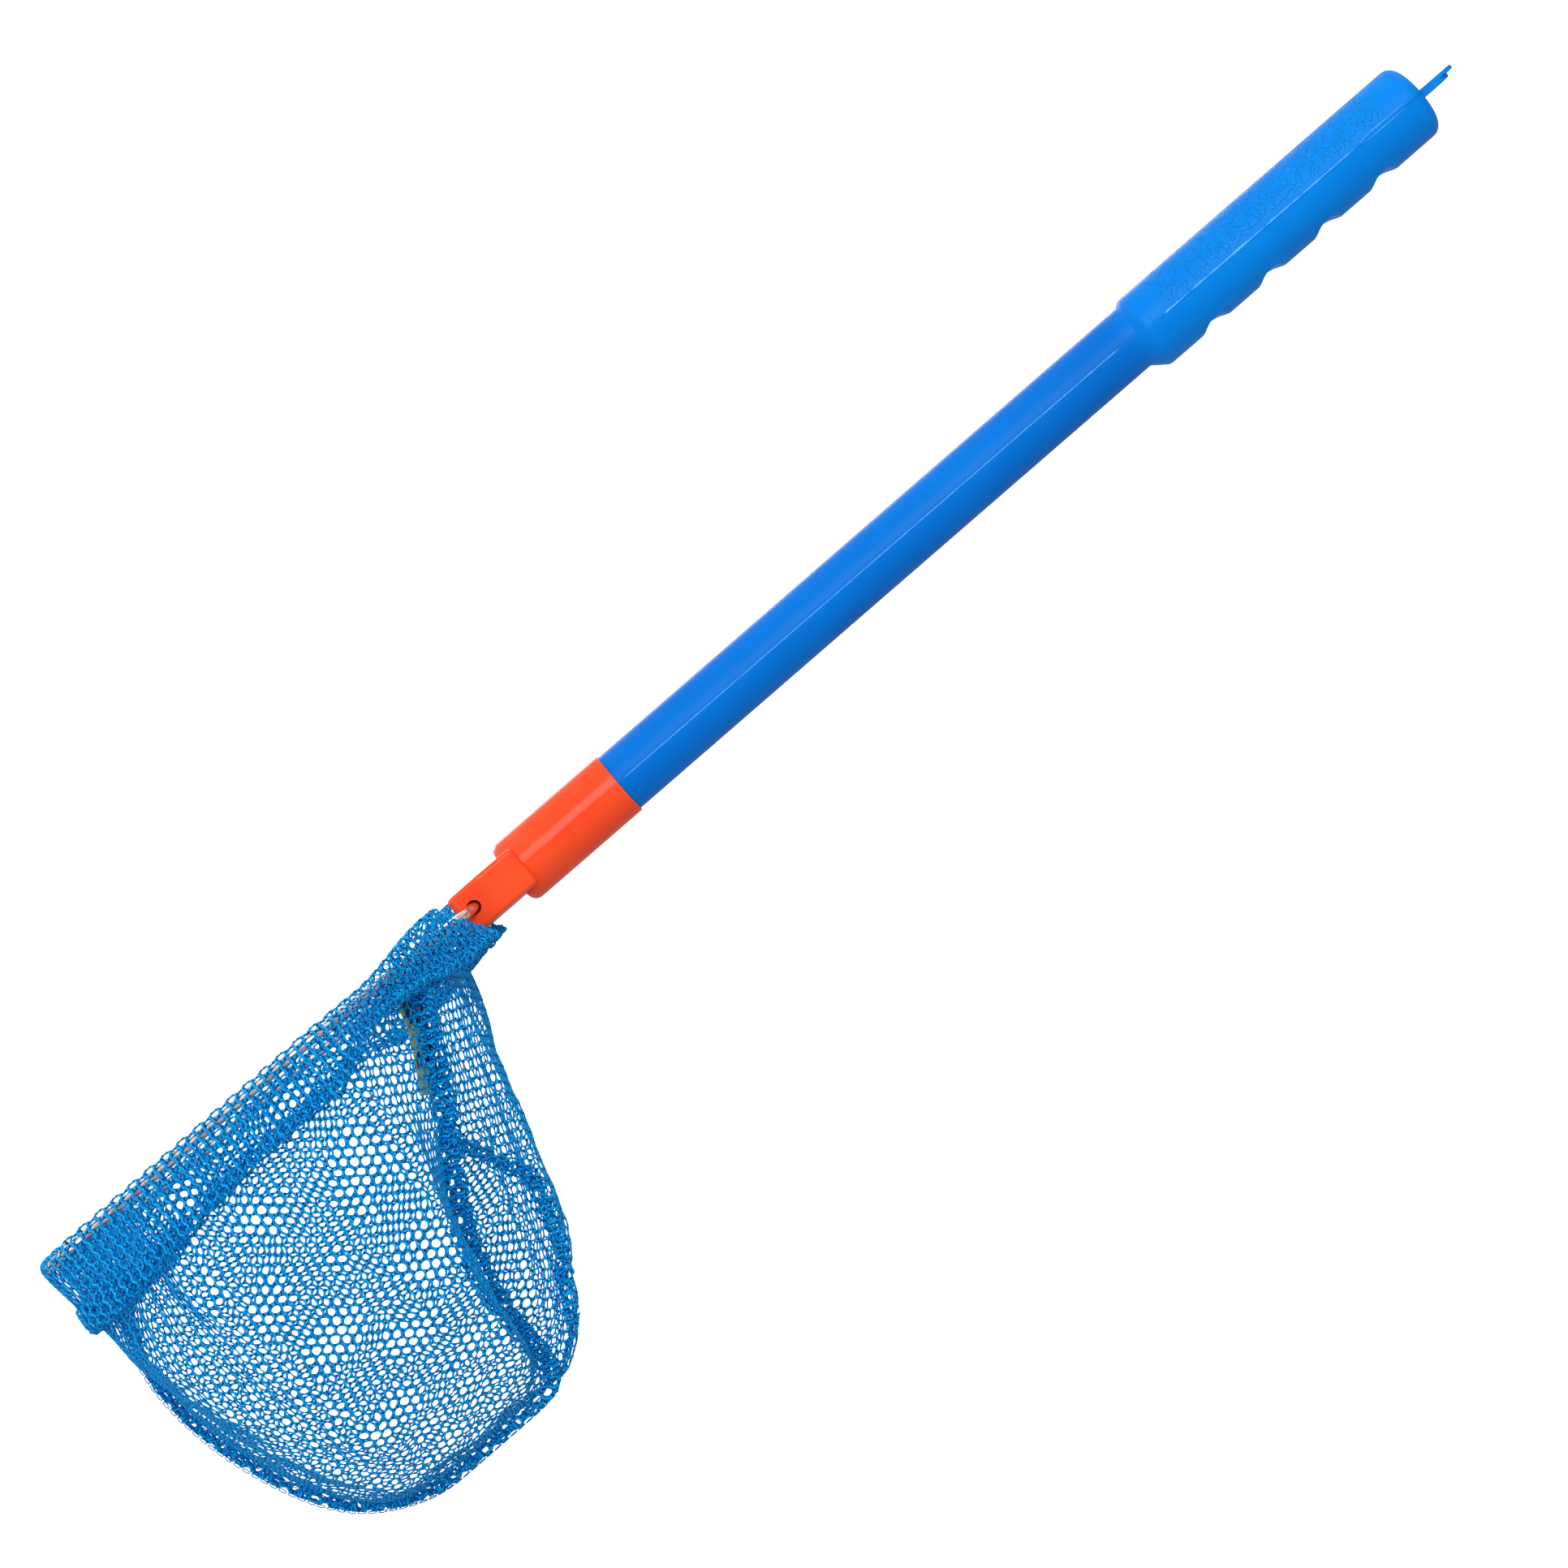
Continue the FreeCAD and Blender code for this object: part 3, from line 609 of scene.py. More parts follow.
# Depth of the line where the bag leaves the casing, from the front to the connector: (x, depth).
# The left casing is pulled up at its rear corner, beside the label.
LEFT_HEM = (
    (-456.0, 20.4), (-446.0, 20.0), (-436.0, 19.4), (-420.0, 16.8), (-406.0, 15.3), (-380.0, 13.6),
    (-359.0, 14.4), (-354.0, 11.4), (-348.0, 8.0), (-340.0, 5.6), (-332.0, 6.2), (-325.0, 8.2),
    (-318.0, 9.6), (-305.0, 8.4),
)
RIGHT_HEM = (
    (-456.0, 20.4), (-453.5, 18.4), (-446.0, 15.4), (-425.0, 12.4), (-400.0, 11.2), (-378.0, 9.8),
    (-367.0, 9.2), (-357.0, 12.6), (-346.0, 12.6), (-335.0, 11.6), (-318.0, 9.6), (-305.0, 8.4),
)
HEM_TUCK = 3.5  # the bag's edge goes this far up into the casing's fold


def hem_depth(x, far):
    """Depth of the line where the bag leaves the casing; far is true on the right side."""
    table = np.array(RIGHT_HEM if far else LEFT_HEM)
    return np.interp(x, table[:, 0], table[:, 1])


def hem_row(stations, far):
    """Points on the bag's upper edge, which is held inside the casing's fold."""
    points = HALF_HOOP.place(stations)
    if far:
        points = points * [1, -1]
    return np.hstack([points, HEM_TUCK - hem_depth(points[:, :1], far)])


def leg_place(half):
    """Distance along the hoop's half to where its leg is this far from the middle."""
    return HALF_HOOP.length - (half - EXIT_HALF) / math.sin(LEG_ANGLE)


SEAM_AT = leg_place(47.5)
REAR_EDGE_AT = leg_place(36.5)

# Grid columns along each run of the two panels.
FRONT_COLUMNS, SIDE_COLUMNS, NEAR_REAR_COLUMNS = 34, 44, 20
SEAM_TO_END_COLUMNS, END_COLUMNS, FAR_REAR_COLUMNS = 14, 26, 24


def spread(corners, counts):
    """Rows of points along runs between corners; corners is (rows, corner, 3)."""
    runs = []
    for k, count in enumerate(counts):
        share = np.linspace(0, 1, count, endpoint=k == len(counts) - 1)[None, :, None]
        runs.append(corners[:, k:k + 1] * (1 - share) + corners[:, k + 1:k + 2] * share)
    return np.concatenate(runs, axis=1)


def stations_row(places, counts, far):
    """The hem's points along runs between places on the hoop."""
    at = spread(np.array(places, float)[None, :, None], counts)[0, :, 0]
    return hem_row(at, far)


def bag_surface(near):
    """Grid of one panel, hem first. The near panel runs from the front seam to the left rear seam,
    and the far one from that seam round the rear and the right side to the front seam."""
    levels = spline_rows(BAG_LEVELS, BAG_ROWS)
    depth, keel, front, front_half, rear_x, rear_half, seam_x, seam_y, end_x, end_half = levels.T

    def corner(x, y):
        return np.stack([x, y, -depth], axis=1)

    middle, seam = corner(keel, 0 * depth), corner(seam_x, seam_y)
    if near:
        corners = [middle, corner(front, -front_half), corner(rear_x, -rear_half), seam]
        counts = (FRONT_COLUMNS, SIDE_COLUMNS, NEAR_REAR_COLUMNS)
        hem = stations_row((0, FRONT_CORNER_AT, REAR_CORNER_AT, SEAM_AT), counts, False)
    else:
        corners = [
            seam, corner(end_x, -end_half), corner(end_x, end_half), corner(rear_x, rear_half),
            corner(front, front_half), middle,
        ]
        right_counts = (FAR_REAR_COLUMNS, SIDE_COLUMNS, FRONT_COLUMNS)
        counts = (SEAM_TO_END_COLUMNS, END_COLUMNS, *right_counts)
        left = stations_row((SEAM_AT, REAR_EDGE_AT), (SEAM_TO_END_COLUMNS,), False)
        right_places = (REAR_EDGE_AT, REAR_CORNER_AT, FRONT_CORNER_AT, 0)
        right = stations_row(right_places, right_counts, True)
        share = np.linspace(0, 1, END_COLUMNS, endpoint=False)[:, None]
        rear_left = hem_row(np.array([REAR_EDGE_AT]), False)
        gap = rear_left * (1 - share) + right[:1] * share
        hem = np.vstack([left, gap, right])
    grid = spread(np.stack(corners, axis=1), counts)
    grid = soften(grid, 22, 1)
    blend_down = 1 - smooth_step(np.arange(BAG_ROWS), 0, HEM_BLEND)[:, None, None]
    grid = grid + (hem - grid[0])[None] * blend_down
    grid[0] = hem
    grid = soften(grid, 3, 0)
    for edge in (grid[:, 0 if near else -1], grid[-1]):
        edge[:, 1] += -SEAM_HALF_GAP if near else SEAM_HALF_GAP
    return grid


def wrinkle(grid, seed):
    """Soft, mostly vertical folds that fade out at every edge."""
    rows, columns = grid.shape[:2]
    normals = grid_normals(grid)
    across = np.minimum(np.arange(columns), columns - 1 - np.arange(columns)) / 12.0
    downward = np.minimum(np.arange(rows) / 6.0, (rows - 1 - np.arange(rows)) / 8.0)
    fade = np.clip(across, 0, 1)[None] * np.clip(downward, 0, 1)[:, None]
    stretched = grid * [1.0, 1.0, 0.35]
    folds = ripple(stretched, 16.0, seed) * 2.6 + ripple(grid, 7.0, seed + 1) * 0.9
    return grid + normals * (folds * fade)[..., None]


SEAM_ALLOWANCE = 5.8  # width of the cloth outside the seam
SEAM_LAP = 2.2  # width of the doubled cloth inside it; half of that along the front and the bottom
SEAM_FOLD = 3.3  # the allowance is folded back at this width, except up the rear
UNFOLDED = (-392.0, -372.0)  # x over which the fold opens
FRONT_TO_UNDER = (-455.0, -440.0)  # x over which the allowance turns from forward to down
UNDER_TO_REAR = (-386.0, -374.0)  # and from down to the rear
LAYER_GAP = 0.5  # between the allowance's two layers


def seam_strip(side, layer, seed):
    """One layer of the seam's allowance, which stands out from the seam's line."""
    rear = smooth_step(SEAM_LINE[:, 0], *UNFOLDED)[None]
    width = np.linspace(0, 1, 13)[:, None] * (SEAM_ALLOWANCE + SEAM_LAP) - SEAM_LAP
    width = np.where(width < 0, width * (0.5 + 0.5 * rear), width)
    fold = SEAM_FOLD + (SEAM_ALLOWANCE - SEAM_FOLD) * rear
    turned = np.maximum(width - fold, 0)
    reach = width - 2 * turned
    grid = SEAM_LINE[None] + SEAM_OUT[None] * reach[..., None]
    curl = ripple(grid, 9.0, seed) * 1.1 + ripple(grid, 4.0, seed + 1) * 0.5
    away = SEAM_HALF_GAP + LAYER_GAP * layer + 0.1 * reach + 0.4 * np.minimum(turned, 1.0)
    grid[..., 1] += side * away + curl * reach / SEAM_ALLOWANCE
    run = Path(SEAM_LINE).at_point + 1.1 * layer
    return Cloth(grid, pairs(run[None], -width))


def pleat(grid, rows, centres, half_width, lift, seed):
    """A further layer where the cloth is tucked: a band across the given rows, with its middle at
    a column of each row."""
    normals = grid_normals(grid)
    steps = np.arange(-half_width, half_width + 0.1, 1.2)
    places = []
    for row, centre in zip(rows, centres):
        line = Path(grid[row])
        middle = np.interp(centre, np.arange(len(line.at_point)), line.at_point)
        at = np.clip(middle + steps, 0, line.length)
        places.append(line.place(at) + line.read(normals[row], at) * lift)
    band = np.array(places)
    band = band + grid_normals(band) * (ripple(band, 6.0, seed) * 0.9)[..., None]
    down = Path(band[:, len(steps) // 2]).at_point
    return Cloth(band, pairs(steps[None], -down[:, None]))


def columns_at(grid, rows, places, first, last):
    """For each row, the column between first and last that is nearest to a path of (x, z)."""
    path = np.array(places)[::-1]
    found = []
    for row in rows:
        line = grid[row, first:last]
        target = np.interp(line[:, 2].mean(), path[:, 1], path[:, 0])
        found.append(first + int(np.abs(line[:, 0] - target).argmin()))
    return soften(np.array(found, float)[:, None], 3, 0)[:, 0]


def seam_line_of(near_grid, far_grid):
    """The seam from the front of the hem, down, along the bottom and up the left rear."""
    front = (near_grid[:, 0] + far_grid[:, -1]) / 2
    line = Path(np.vstack([front, near_grid[-1, 1:], near_grid[-2::-1, -1]]))
    return soften(line.place(np.linspace(0, line.length, int(line.length / 1.5))), 10, 0)


def outward_of(line):
    """Unit directions across the seam, out of the bag: at the front forward and a little to the
    left, below the bag down, and at the rear backward."""
    ahead = unit(np.gradient(line, axis=0))
    front = 1 - smooth_step(line[:, :1], *FRONT_TO_UNDER)
    rear = smooth_step(line[:, :1], *UNDER_TO_REAR)
    under = 1 - np.maximum(front, rear)
    away = front * [-1.0, -0.45, 0.0] + under * [0.0, 0.0, -1.0] + rear * [1.0, -0.12, -0.1]
    away = away - (away * ahead).sum(axis=1, keepdims=True) * ahead
    return unit(soften(unit(away), 12, 0))


NEAR_GRID = wrinkle(bag_surface(True), 3)
FAR_GRID = wrinkle(bag_surface(False), 8)
SEAM_LINE = seam_line_of(NEAR_GRID, FAR_GRID)
SEAM_OUT = outward_of(SEAM_LINE)

# Where the cloth is tucked near the bag's rear: (x, z), from the top.
REAR_TUCK = (
    (-354.5, -37.0), (-348.0, -56.0), (-343.5, -70.0), (-351.0, -90.0), (-362.0, -106.0),
)
TUCK_ROWS = np.arange(12, 52)
TUCK_HALF, TUCK_LIFT = 3.4, 1.1
SEAM_PLEAT_ROWS = np.arange(3, 50)
SEAM_PLEAT_HALF, SEAM_PLEAT_LIFT = 4.4, -0.8


def rear_pleats(grid, seed):
    """The right panel's extra layers: one beside the left rear seam, and four in the tuck."""
    beside = np.full(len(SEAM_PLEAT_ROWS), 1.0)
    pleats = [pleat(grid, SEAM_PLEAT_ROWS, beside, SEAM_PLEAT_HALF, SEAM_PLEAT_LIFT, seed + 5)]
    centres = columns_at(grid, TUCK_ROWS, REAR_TUCK, 0, 30)
    for layer in (-1.0, -0.5, 0.5, 1.0):
        lift = TUCK_LIFT * layer
        pleats.append(pleat(grid, TUCK_ROWS, centres, TUCK_HALF, lift, seed + 7 + 2 * layer))
    return pleats


# The net's rows run level along this stretch of the side: a row, and columns from the front.
LEVEL_ROW, LEVEL_FROM, LEVEL_TO = 24, 42, 70


def make_panel(name, grid, near, seed):
    """One panel of the bag, with its seam allowance and tucks, as knitted yarn."""
    columns = grid.shape[1]
    level = (LEVEL_FROM, LEVEL_TO) if near else (columns - LEVEL_TO, columns - LEVEL_FROM)
    flat = lay_flat(grid, name + "_flat", LEVEL_ROW, *level)
    turn = -CUT_TURN if near else CUT_TURN
    cloth = Cloth(grid, flat)
    side = -1.0 if near else 1.0
    strips = [seam_strip(side, layer, seed + 40 + layer) for layer in range(2)]
    if not near:
        strips += rear_pleats(grid, seed + 60)
    parts = [knit(cloth, seed, side=NEAR_SIDE if near else FAR_SIDE, turn=turn)]
    parts += [knit(strip, seed + 1 + k, turn=0.3 * k, thin=1.1) for k, strip in enumerate(strips)]
    piece = add_piece(name + "_net", *join_parts(*parts), NET_YARN)
    belongs(piece, name)


# ---------------- casing

CASING_TOP = 2.3  # radius of the strip's bend over the wire
CASING_EDGE = 1.7  # the strip's lower edge is this far below the line where the bag leaves it
COLLAR_RISE = 4.4  # beside the connector the strip stands this much higher
COLLAR_RUN = (-342.0, -317.0)  # x over which it rises

# How far the strip's raw edge is turned up outside, from the front to the connector: (x, height).
CASING_FOLD = (
    (-456.0, 10.0), (-432.0, 6.4), (-400.0, 4.4), (-365.0, 4.2), (-345.0, 3.2), (-305.0, 3.2),
)


def casing_profile(depth, fold, rise):
    """(outward, up) points across the folded strip, from its inner raw edge to its outer one."""
    fold, wall = min(fold, 0.6 * depth), min(6.0, 0.5 * depth)
    arc = [
        (-CASING_TOP * math.cos(a), rise + CASING_TOP * math.sin(a) + 0.2)
        for a in np.linspace(0, math.pi, 7)
    ]
    half = [
        (1.7, fold - depth), (2.6, 0.7 * fold - depth), (3.2, 0.35 * fold - depth),
        (2.8, 0.8 - depth), (1.7, -0.3 - depth), (1.0, 0.6 - depth), (1.0, wall - depth),
        (CASING_TOP, -1.0),
    ]
    return Path([(-x, z) for x, z in half] + arc + half[::-1])


def away_from_middle(places, stations):
    """Level unit directions across the wire, out of the hoop."""
    heading = HALF_HOOP.heading(stations)
    normal = np.stack([heading[:, 1], -heading[:, 0]], axis=1)
    return normal * np.sign((normal * (places - INSIDE_HOOP)).sum(axis=1, keepdims=True))


def casing_surface(far):
    """The folded strip along half of the hoop, from the front's middle to the connector."""
    end = HALF_HOOP.length - 0.3
    stations = np.arange(0, end + 2.0, 2.0)
    across = np.linspace(0, 1, 71)
    base = HALF_HOOP.place(stations)
    columns, lengths = [], []
    for place, out in zip(base, away_from_middle(base, stations)):
        rise = COLLAR_RISE * float(smooth_step(place[0], *COLLAR_RUN))
        fold = float(np.interp(place[0], *np.array(CASING_FOLD).T))
        profile = casing_profile(float(hem_depth(place[0], far)) + CASING_EDGE, fold, rise)
        section = profile.place(across * profile.length)
        columns.append(np.column_stack([place + out * section[:, :1], section[:, 1]]))
        lengths.append(profile.length)
    grid = np.stack(columns, axis=1)
    lengths = np.array(lengths)
    if far:
        grid = grid * [1, -1, 1]
    loose = ripple(grid, 5.0, 21 if far else 22) * 0.6
    free = 1 - np.exp(-((across - 0.5) / 0.12) ** 2)
    grid = grid + grid_normals(grid) * (loose * free[:, None])[..., None]
    # Where the strip narrows, its cloth narrows less, so the cells close up a little.
    width = 0.75 * lengths + 0.25 * lengths.max()
    down = (0.5 - across[:, None]) * width[None]
    return Cloth(grid, pairs(stations[None], down)), lengths.mean(), end


def collar_end(points):
    """True short of the casing's slanted end, which leans back towards the wire's top."""
    lean = np.clip((points[:, 2] + 9.4) / 16.4, 0, 1.1)
    return points[:, 0] < CONNECTOR_FRONT + 6.2 - 8.5 * lean


def gathered_end(points):
    """True beside the connector, where the casing's cloth is bunched up double."""
    return collar_end(points) & (points[:, 0] > -333.0 + 0.8 * points[:, 2])


def make_casing():
    """The casing of both sides as knitted yarn."""
    parts = []
    for far, seed in ((False, 11), (True, 12)):
        cloth, width, end = casing_surface(far)
        parts.append(knit(cloth, seed, thin=1.08, keep=collar_end))
        parts.append(knit(cloth, seed + 5, turn=0.4, keep=gathered_end))
    piece = add_piece("hem_casing_net", *join_parts(*parts), NET_YARN)
    belongs(piece, "hem_casing")


# ---------------- threads


def tube(points, radius, sides=5):
    """Vertices and faces of a thin tube along points."""
    ahead = unit(np.gradient(points, axis=0))
    guide = np.where(np.abs(ahead[:, 2:3]) > 0.9, [[1.0, 0, 0]], [[0, 0, 1.0]])
    across = unit(np.cross(ahead, guide))
    up = np.cross(across, ahead)
    angles = np.linspace(0, 2 * math.pi, sides, endpoint=False)
    rings = [points + radius * (across * math.cos(a) + up * math.sin(a)) for a in angles]
    vertices = np.stack(rings, axis=1).reshape(-1, 3)
    first = np.arange(len(points) - 1)[:, None] * sides
    around = np.arange(sides)
    beside = (around + 1) % sides
    faces = np.stack([
        first + around, first + beside, first + sides + beside, first + sides + around,
    ], axis=2).reshape(-1, 4)
    return vertices, faces


def stitches(line, offset, length, radius):
    """Separate short stitches along a line, each one dipping into the cloth at its ends."""
    parts = []
    path = Path(line)
    for start in np.arange(0.5, path.length - length, length * 1.25):
        run = np.linspace(start, start + length, 6)
        share = np.linspace(0, 1, 6)[:, None]
        push = path.read(offset, run)
        parts.append(tube(path.place(run) + push * (np.sin(share * math.pi) - 0.7), radius))
    return join_parts(*parts)


HEM_ROWS = ((3.0, 3.4), (-3.0, 3.4), (3.0, 1.2))  # each row's distance outward, and above the edge
SEAM_ROWS = (0.9, 3.6)  # each row's distance from the seam's line
SEAM_ROW_OUT = 1.5


def make_hem_stitching():
    """Rows of stitches through the folded band, on both of its faces."""
    parts = []
    for far in (False, True):
        stations = np.arange(0, HALF_HOOP.length - 6.0, 1.0)
        base = HALF_HOOP.place(stations)
        normal = away_from_middle(base, stations)
        for face, lift in HEM_ROWS:
            depth = lift - hem_depth(base[:, 0], far) - CASING_EDGE
            line = np.column_stack([base + normal * face, depth])
            push = np.column_stack([normal * np.sign(face), np.zeros(len(normal))])
            if far:
                line, push = line * [1, -1, 1], push * [1, -1, 1]
            parts.append(stitches(line, push, 2.6, 0.16))
    piece = add_piece("hem_threads", *join_parts(*parts), THREAD_YARN)
    belongs(piece, "hem_stitching")


def make_seam_stitching():
    """Two rows of stitches along the seam, on both of its faces."""
    parts = []
    for side in (-1.0, 1.0):
        for reach in SEAM_ROWS:
            line = SEAM_LINE + SEAM_OUT * reach + np.array([0, side * SEAM_ROW_OUT, 0])
            push = np.broadcast_to([0, side, 0], line.shape)
            parts.append(stitches(line, push, 2.4, 0.18))
    piece = add_piece("seam_threads", *join_parts(*parts), THREAD_YARN)
    belongs(piece, "seam_stitching")


# ---------------- label

# The label's middle line from its sewn top to its loose end: (x, y, z).
LABEL_LINE = (
    (-333.1, -46.2, -6.6), (-334.3, -45.3, -11.0), (-337.0, -43.3, -16.5), (-340.4, -41.1, -22.0),
    (-343.8, -38.8, -27.0), (-346.0, -37.4, -30.0),
)
LABEL_PATH = Path(LABEL_LINE)
LABEL_HALF = 2.6
LABEL_THICK = 0.22
LABEL_TILT = 0.25
BACK_SHIFT = (-2.0, 0.8, -2.0)  # how far the label's back shows beyond its face
LABEL_SEAM = np.array([[-335.5, -47.2, -7.4], [-333.1, -47.0, -7.6], [-330.7, -46.2, -7.4]])


def label_face(shift, seed):
    """One face of the folded label, as a thin closed strip."""
    line = soften(LABEL_PATH.place(np.linspace(0, LABEL_PATH.length, 40)), 12, 0)
    across = unit(np.cross(np.gradient(line, axis=0), [0, 1.0, 0])) + [0, LABEL_TILT, 0]
    steps = np.linspace(-LABEL_HALF, LABEL_HALF, 9)[:, None, None]
    grid = line[None] + np.array(shift) + across[None] * steps
    grid[..., 1] += ripple(grid, 7.0, seed) * 0.7
    normals = grid_normals(grid) * LABEL_THICK / 2
    both = np.concatenate([grid + normals, (grid - normals)[::-1]])
    rows, columns = both.shape[:2]
    faces = grid_faces(rows, columns)
    row = np.arange(columns - 1)
    last = (rows - 1) * columns
    side = np.stack([last + row, last + row + 1, row + 1, row], axis=1)
    first = np.arange(rows // 2 - 1)
    behind = rows - 1 - first
    cap = np.stack([first, first + 1, behind - 1, behind], axis=1) * columns
    return both.reshape(-1, 3), np.vstack([faces, side, cap, cap[:, ::-1] + columns - 1])


def label_material(name, colour, shade):
    """Woven tape with fine ribs."""
    material, tree, shader = new_material(name, Roughness=0.55, Sheen_Weight=0.2)
    wave = node_of(tree, "TexWave", Vector=object_places(tree), Scale=900.0, Distortion=1.5)
    weave = wave.outputs["Fac"]
    paint(tree, shader, weave, [(0.2, shade), (0.8, colour)])
    add_bump(tree, shader, weave, strength=0.4, distance=0.1)
    return material


def make_label():
    """The folded label, black in front and olive behind, and the stitches that hold it."""
    black = label_material("label_black", (0.02, 0.02, 0.022), (0.006, 0.006, 0.008))
    olive = label_material("label_olive", (0.60, 0.56, 0.07), (0.40, 0.38, 0.05))
    face = add_piece("care_label_face", *label_face((0, 0, 0), 71), black)
    back = add_piece("care_label_back", *label_face(BACK_SHIFT, 72), olive)
    for piece in (face, back):
        belongs(piece)
    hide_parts("care_label")
    push = np.broadcast_to([0, -1.0, 0], LABEL_SEAM.shape)
    thread = add_piece("label_threads", *stitches(LABEL_SEAM, push, 1.5, 0.18), THREAD_YARN)
    belongs(thread, "label_stitching")


# ---------------- parting lines

BEAD_SIDES = 8
BEAD_TAPER = 4.0

# Each line's name, distance from the middle plane, radius, and (x, z) places. The grip's parts in
# two near the grip's end.
GRIP_AT, TUBE_AT, SLEEVE_AT = 11.9, 9.51, 10.14
GRIP_LOW = -1.1
BLUE_LINES = (
    ("grip_ridge_", GRIP_AT, 0.42, ((-48.5, GRIP_LOW), (30.0, GRIP_LOW))),
    ("grip_line_upper_", GRIP_AT, 0.17,
     ((26.0, GRIP_LOW), (32.0, GRIP_LOW + 0.7), (47.0, GRIP_LOW + 0.7))),
    ("grip_line_lower_", GRIP_AT, 0.17,
     ((26.0, GRIP_LOW), (32.0, GRIP_LOW - 0.6), (47.0, GRIP_LOW - 0.6))),
    ("tube_ridge_", TUBE_AT, 0.16, ((-60.5, 0.0), (-250.5, 0.0))),
)
ORANGE_LINES = (("sleeve_ridge_", SLEEVE_AT, 0.2, ((-252.5, 0.2), (-289.0, 0.2))),)


def bead(name, places, radius, material):
    """A raised parting line, half sunk in the plastic, thin at both of its ends."""
    path = Path(places)
    run = np.linspace(0, path.length, max(8, int(path.length / 0.8)))
    line = path.place(run)
    vertices, faces = tube(line, 1.0, BEAD_SIDES)
    rings = vertices.reshape(len(line), BEAD_SIDES, 3)
    taper = np.clip(np.minimum(run, path.length - run) / BEAD_TAPER, 0.05, 1.0)
    rough = 1 + 0.25 * ripple(line, 3.0, 31)
    rings = line[:, None] + (rings - line[:, None]) * (radius * taper * rough)[:, None, None]
    belongs(add_piece(name, rings.reshape(-1, 3), faces, material))


def make_parting_lines():
    for side, word in ((-1.0, "left"), (1.0, "right")):
        for lines, material, slot in (
            (BLUE_LINES, BLUE_PAINTED_HIGHLIGHT, "handle_plastic"),
            (ORANGE_LINES, ORANGE_PLASTIC, "connector_plastic"),
        ):
            for name, away, radius, places in lines:
                line = [(x, side * away, z) for x, z in places]
                bead(name + word, line, radius, material)


# ---------------- stage, light and camera

ROLL = math.radians(40.94)  # the picture is turned so that the handle rises to the right
CAMERA_DISTANCE = 1150.0
VIEW_MIDDLE = (-216.0, -31.4)  # (x, z) in the middle of the picture
FRAME_WIDTH = 453.1  # what the picture takes in, at the handle
SENSOR_WIDTH = 36.0

STAGE_DROP = 800.0  # from the bag's bottom to the floor
STAGE_REACH, STAGE_CORNER, STAGE_SIDES = 6000.0, 2500.0, 48

# The studio's light by height, with a darker band at the horizon.
STUDIO_GREYS = (
    (0.0, (0.55, 0.55, 0.57)), (0.40, (0.5, 0.5, 0.52)), (0.47, (0.16, 0.16, 0.18)),
    (0.55, (0.2, 0.2, 0.22)), (0.62, (0.8, 0.8, 0.81)), (1.0, (1.0, 1.0, 1.0)),
)
STUDIO_STRENGTH = 0.9
LIGHT_AIM = (-250.0, 0.0, -30.0)
# Each lamp's name, place, size and power in watts.
LAMPS = (
    ("key", (0.0, -1500.0, 560.0), (900.0, 700.0), 12.5),
    ("fill", (-1300.0, -1100.0, 0.0), (700.0, 700.0), 4.0),
    ("back", (-300.0, 1300.0, 700.0), (1200.0, 500.0), 5.0),
)


def make_camera():
    data = bpy.data.cameras.new("camera")
    data.sensor_width = SENSOR_WIDTH
    data.lens = data.sensor_width * CAMERA_DISTANCE / FRAME_WIDTH
    data.clip_start, data.clip_end = 0.01, 50.0
    camera = new_object("camera", data)
    right = Vector((math.cos(ROLL), 0.0, -math.sin(ROLL)))
    up = Vector((math.sin(ROLL), 0.0, math.cos(ROLL)))
    turn = Matrix((right, up, right.cross(up))).transposed()
    place = Vector((VIEW_MIDDLE[0], -CAMERA_DISTANCE, VIEW_MIDDLE[1])) * MM
    camera.matrix_world = Matrix.Translation(place) @ turn.to_4x4()
    bpy.context.scene.camera = camera


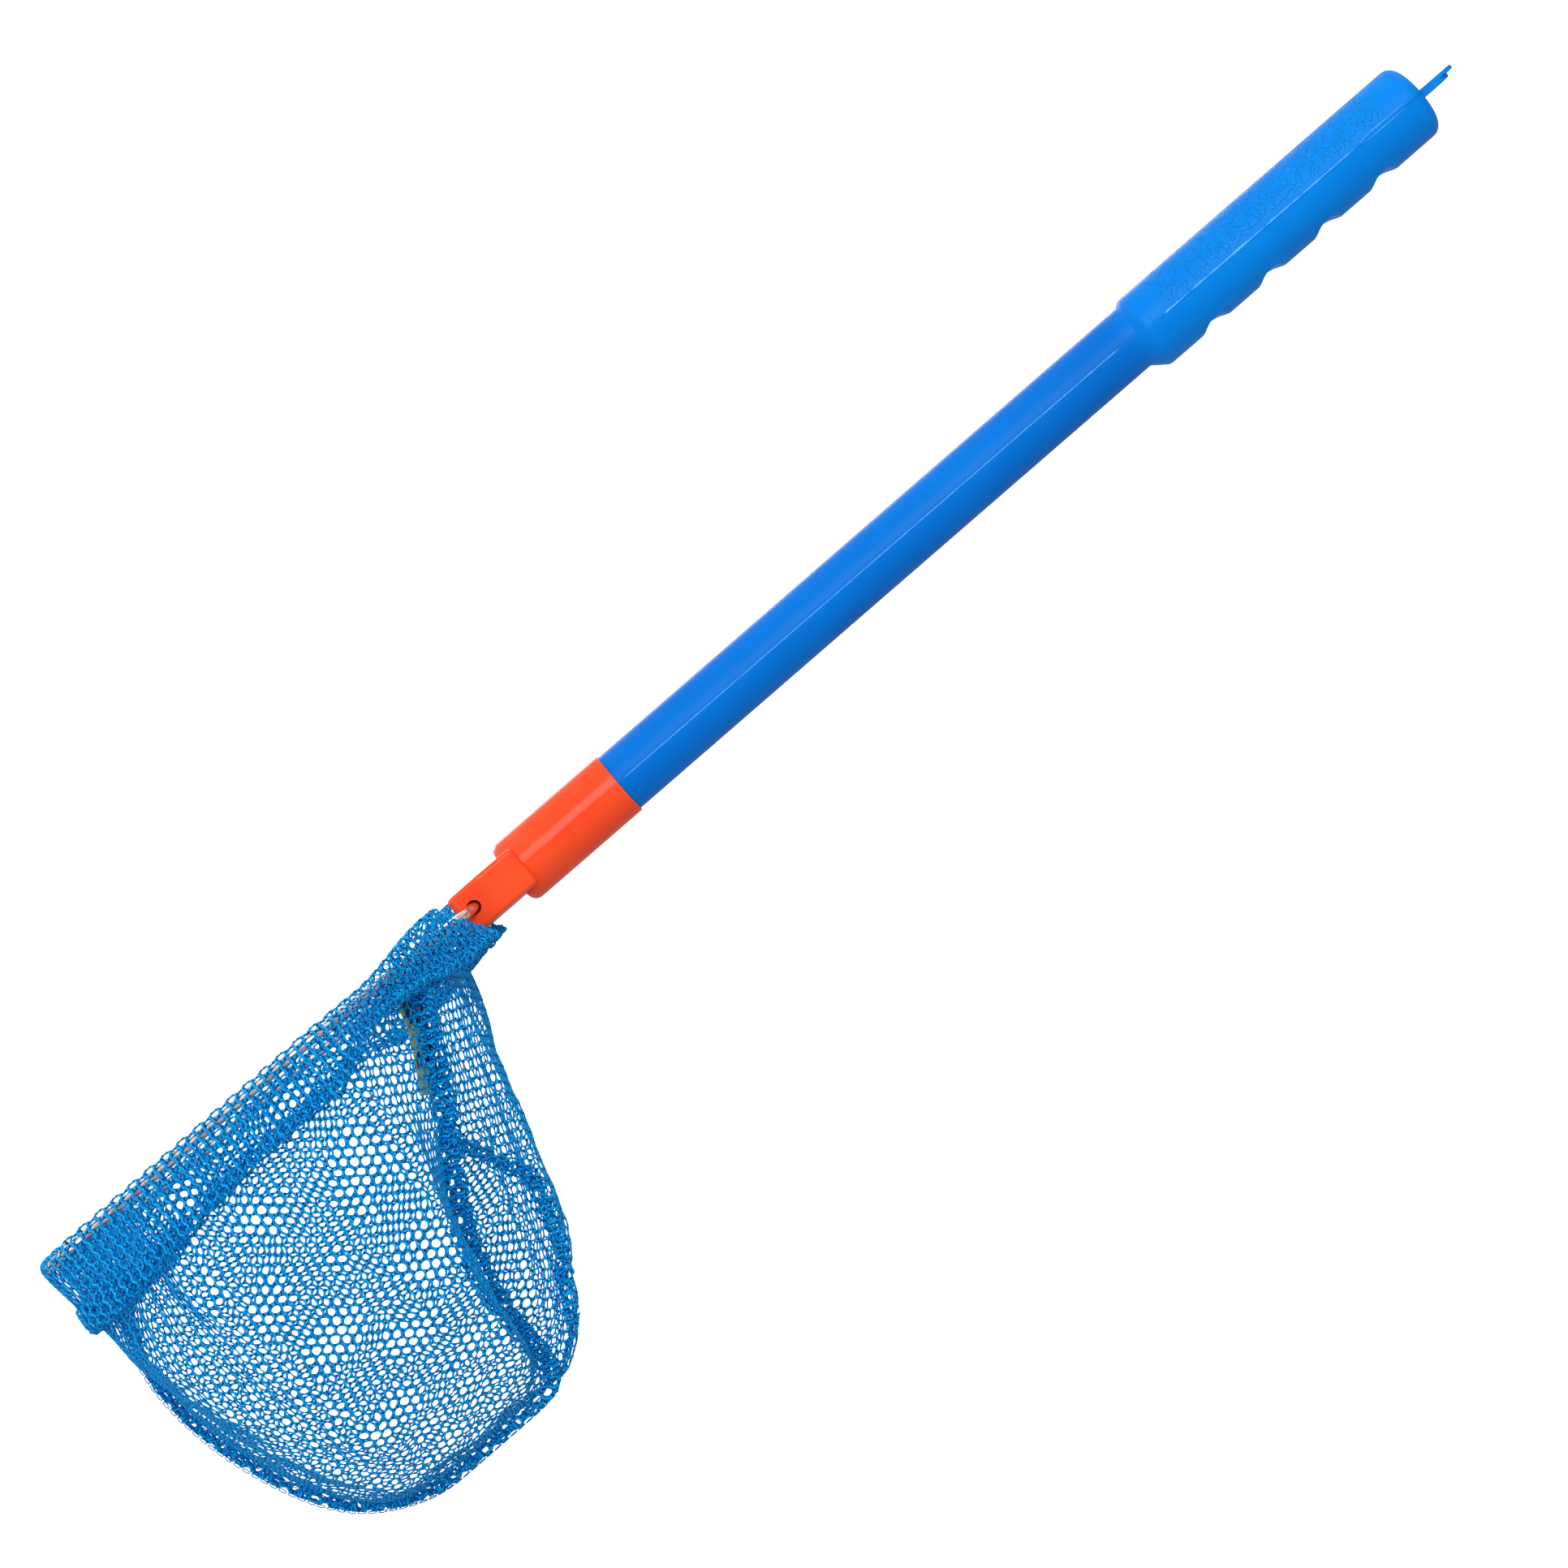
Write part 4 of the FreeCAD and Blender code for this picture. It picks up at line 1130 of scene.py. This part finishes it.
def make_stage():
    """A wide pale floor that curves up all round into a pale dome. It glows, as a product
    photograph's lit backdrop does, and throws no light of its own on the net."""
    material = new_material(
        "stage_white", Base_Color=(0.9, 0.9, 0.9, 1.0), Emission_Color=(1.0, 1.0, 1.0, 1.0),
        Emission_Strength=1.0, Roughness=1.0, Specular_IOR_Level=0.0)[0]
    low = CAD_BOX[0].z / MM - STAGE_DROP
    flat = STAGE_REACH - STAGE_CORNER
    profile = [(0.0, 0.0), (1500.0, 0.0), (flat, 0.0)]
    for a in np.linspace(0, math.pi / 2, 10)[1:]:
        profile.append((flat + STAGE_CORNER * math.sin(a), STAGE_CORNER * (1 - math.cos(a))))
    for a in np.linspace(0, math.pi / 2, 12)[1:]:
        profile.append((STAGE_REACH * math.cos(a), STAGE_CORNER + STAGE_REACH * math.sin(a)))
    turns = np.linspace(0, 2 * math.pi, STAGE_SIDES + 1)
    grid = np.array([
        [(r * math.cos(a), r * math.sin(a), low + z) for a in turns] for r, z in profile
    ])
    stage = add_piece("stage", grid.reshape(-1, 3), grid_faces(*grid.shape[:2]), material)
    stage.visible_diffuse = False
    stage.visible_glossy = False
    stage.visible_shadow = False


def add_lamp(name, place, size, power):
    data = bpy.data.lights.new(name, "AREA")
    data.shape = "RECTANGLE"
    data.size, data.size_y = size[0] * MM, size[1] * MM
    data.energy = power
    light = new_object(name, data)
    light.location = Vector(place) * MM
    toward = Vector(LIGHT_AIM) * MM - light.location
    light.rotation_euler = toward.to_track_quat("-Z", "Y").to_euler()
    light.visible_camera = False


def make_light():
    world = bpy.data.worlds.new("studio")
    world.use_nodes = True
    tree = world.node_tree
    split = node_of(tree, "SeparateXYZ", Vector=node_of(tree, "TexCoord").outputs["Generated"])
    height = mapped(tree, split.outputs["Z"], -1.0, 1.0)
    colour = colour_ramp(tree, height, STUDIO_GREYS)
    fill(tree, tree.nodes["Background"], {"Color": colour, "Strength": STUDIO_STRENGTH})
    bpy.context.scene.world = world
    for lamp in LAMPS:
        add_lamp(*lamp)


bpy.context.scene.view_settings.view_transform = "Standard"
make_camera()
make_stage()
make_light()

for node_name, node_material in (
    ("handle", BLUE_PLASTIC), ("connector", ORANGE_PLASTIC), ("hoop_wire", WIRE_STEEL),
):
    for material_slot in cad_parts[node_name].material_slots:
        material_slot.material = node_material

make_panel("net_panel_left", NEAR_GRID, True, 5)
make_panel("net_panel_right", FAR_GRID, False, 6)
make_casing()
make_hem_stitching()
make_seam_stitching()
make_label()
make_parting_lines()
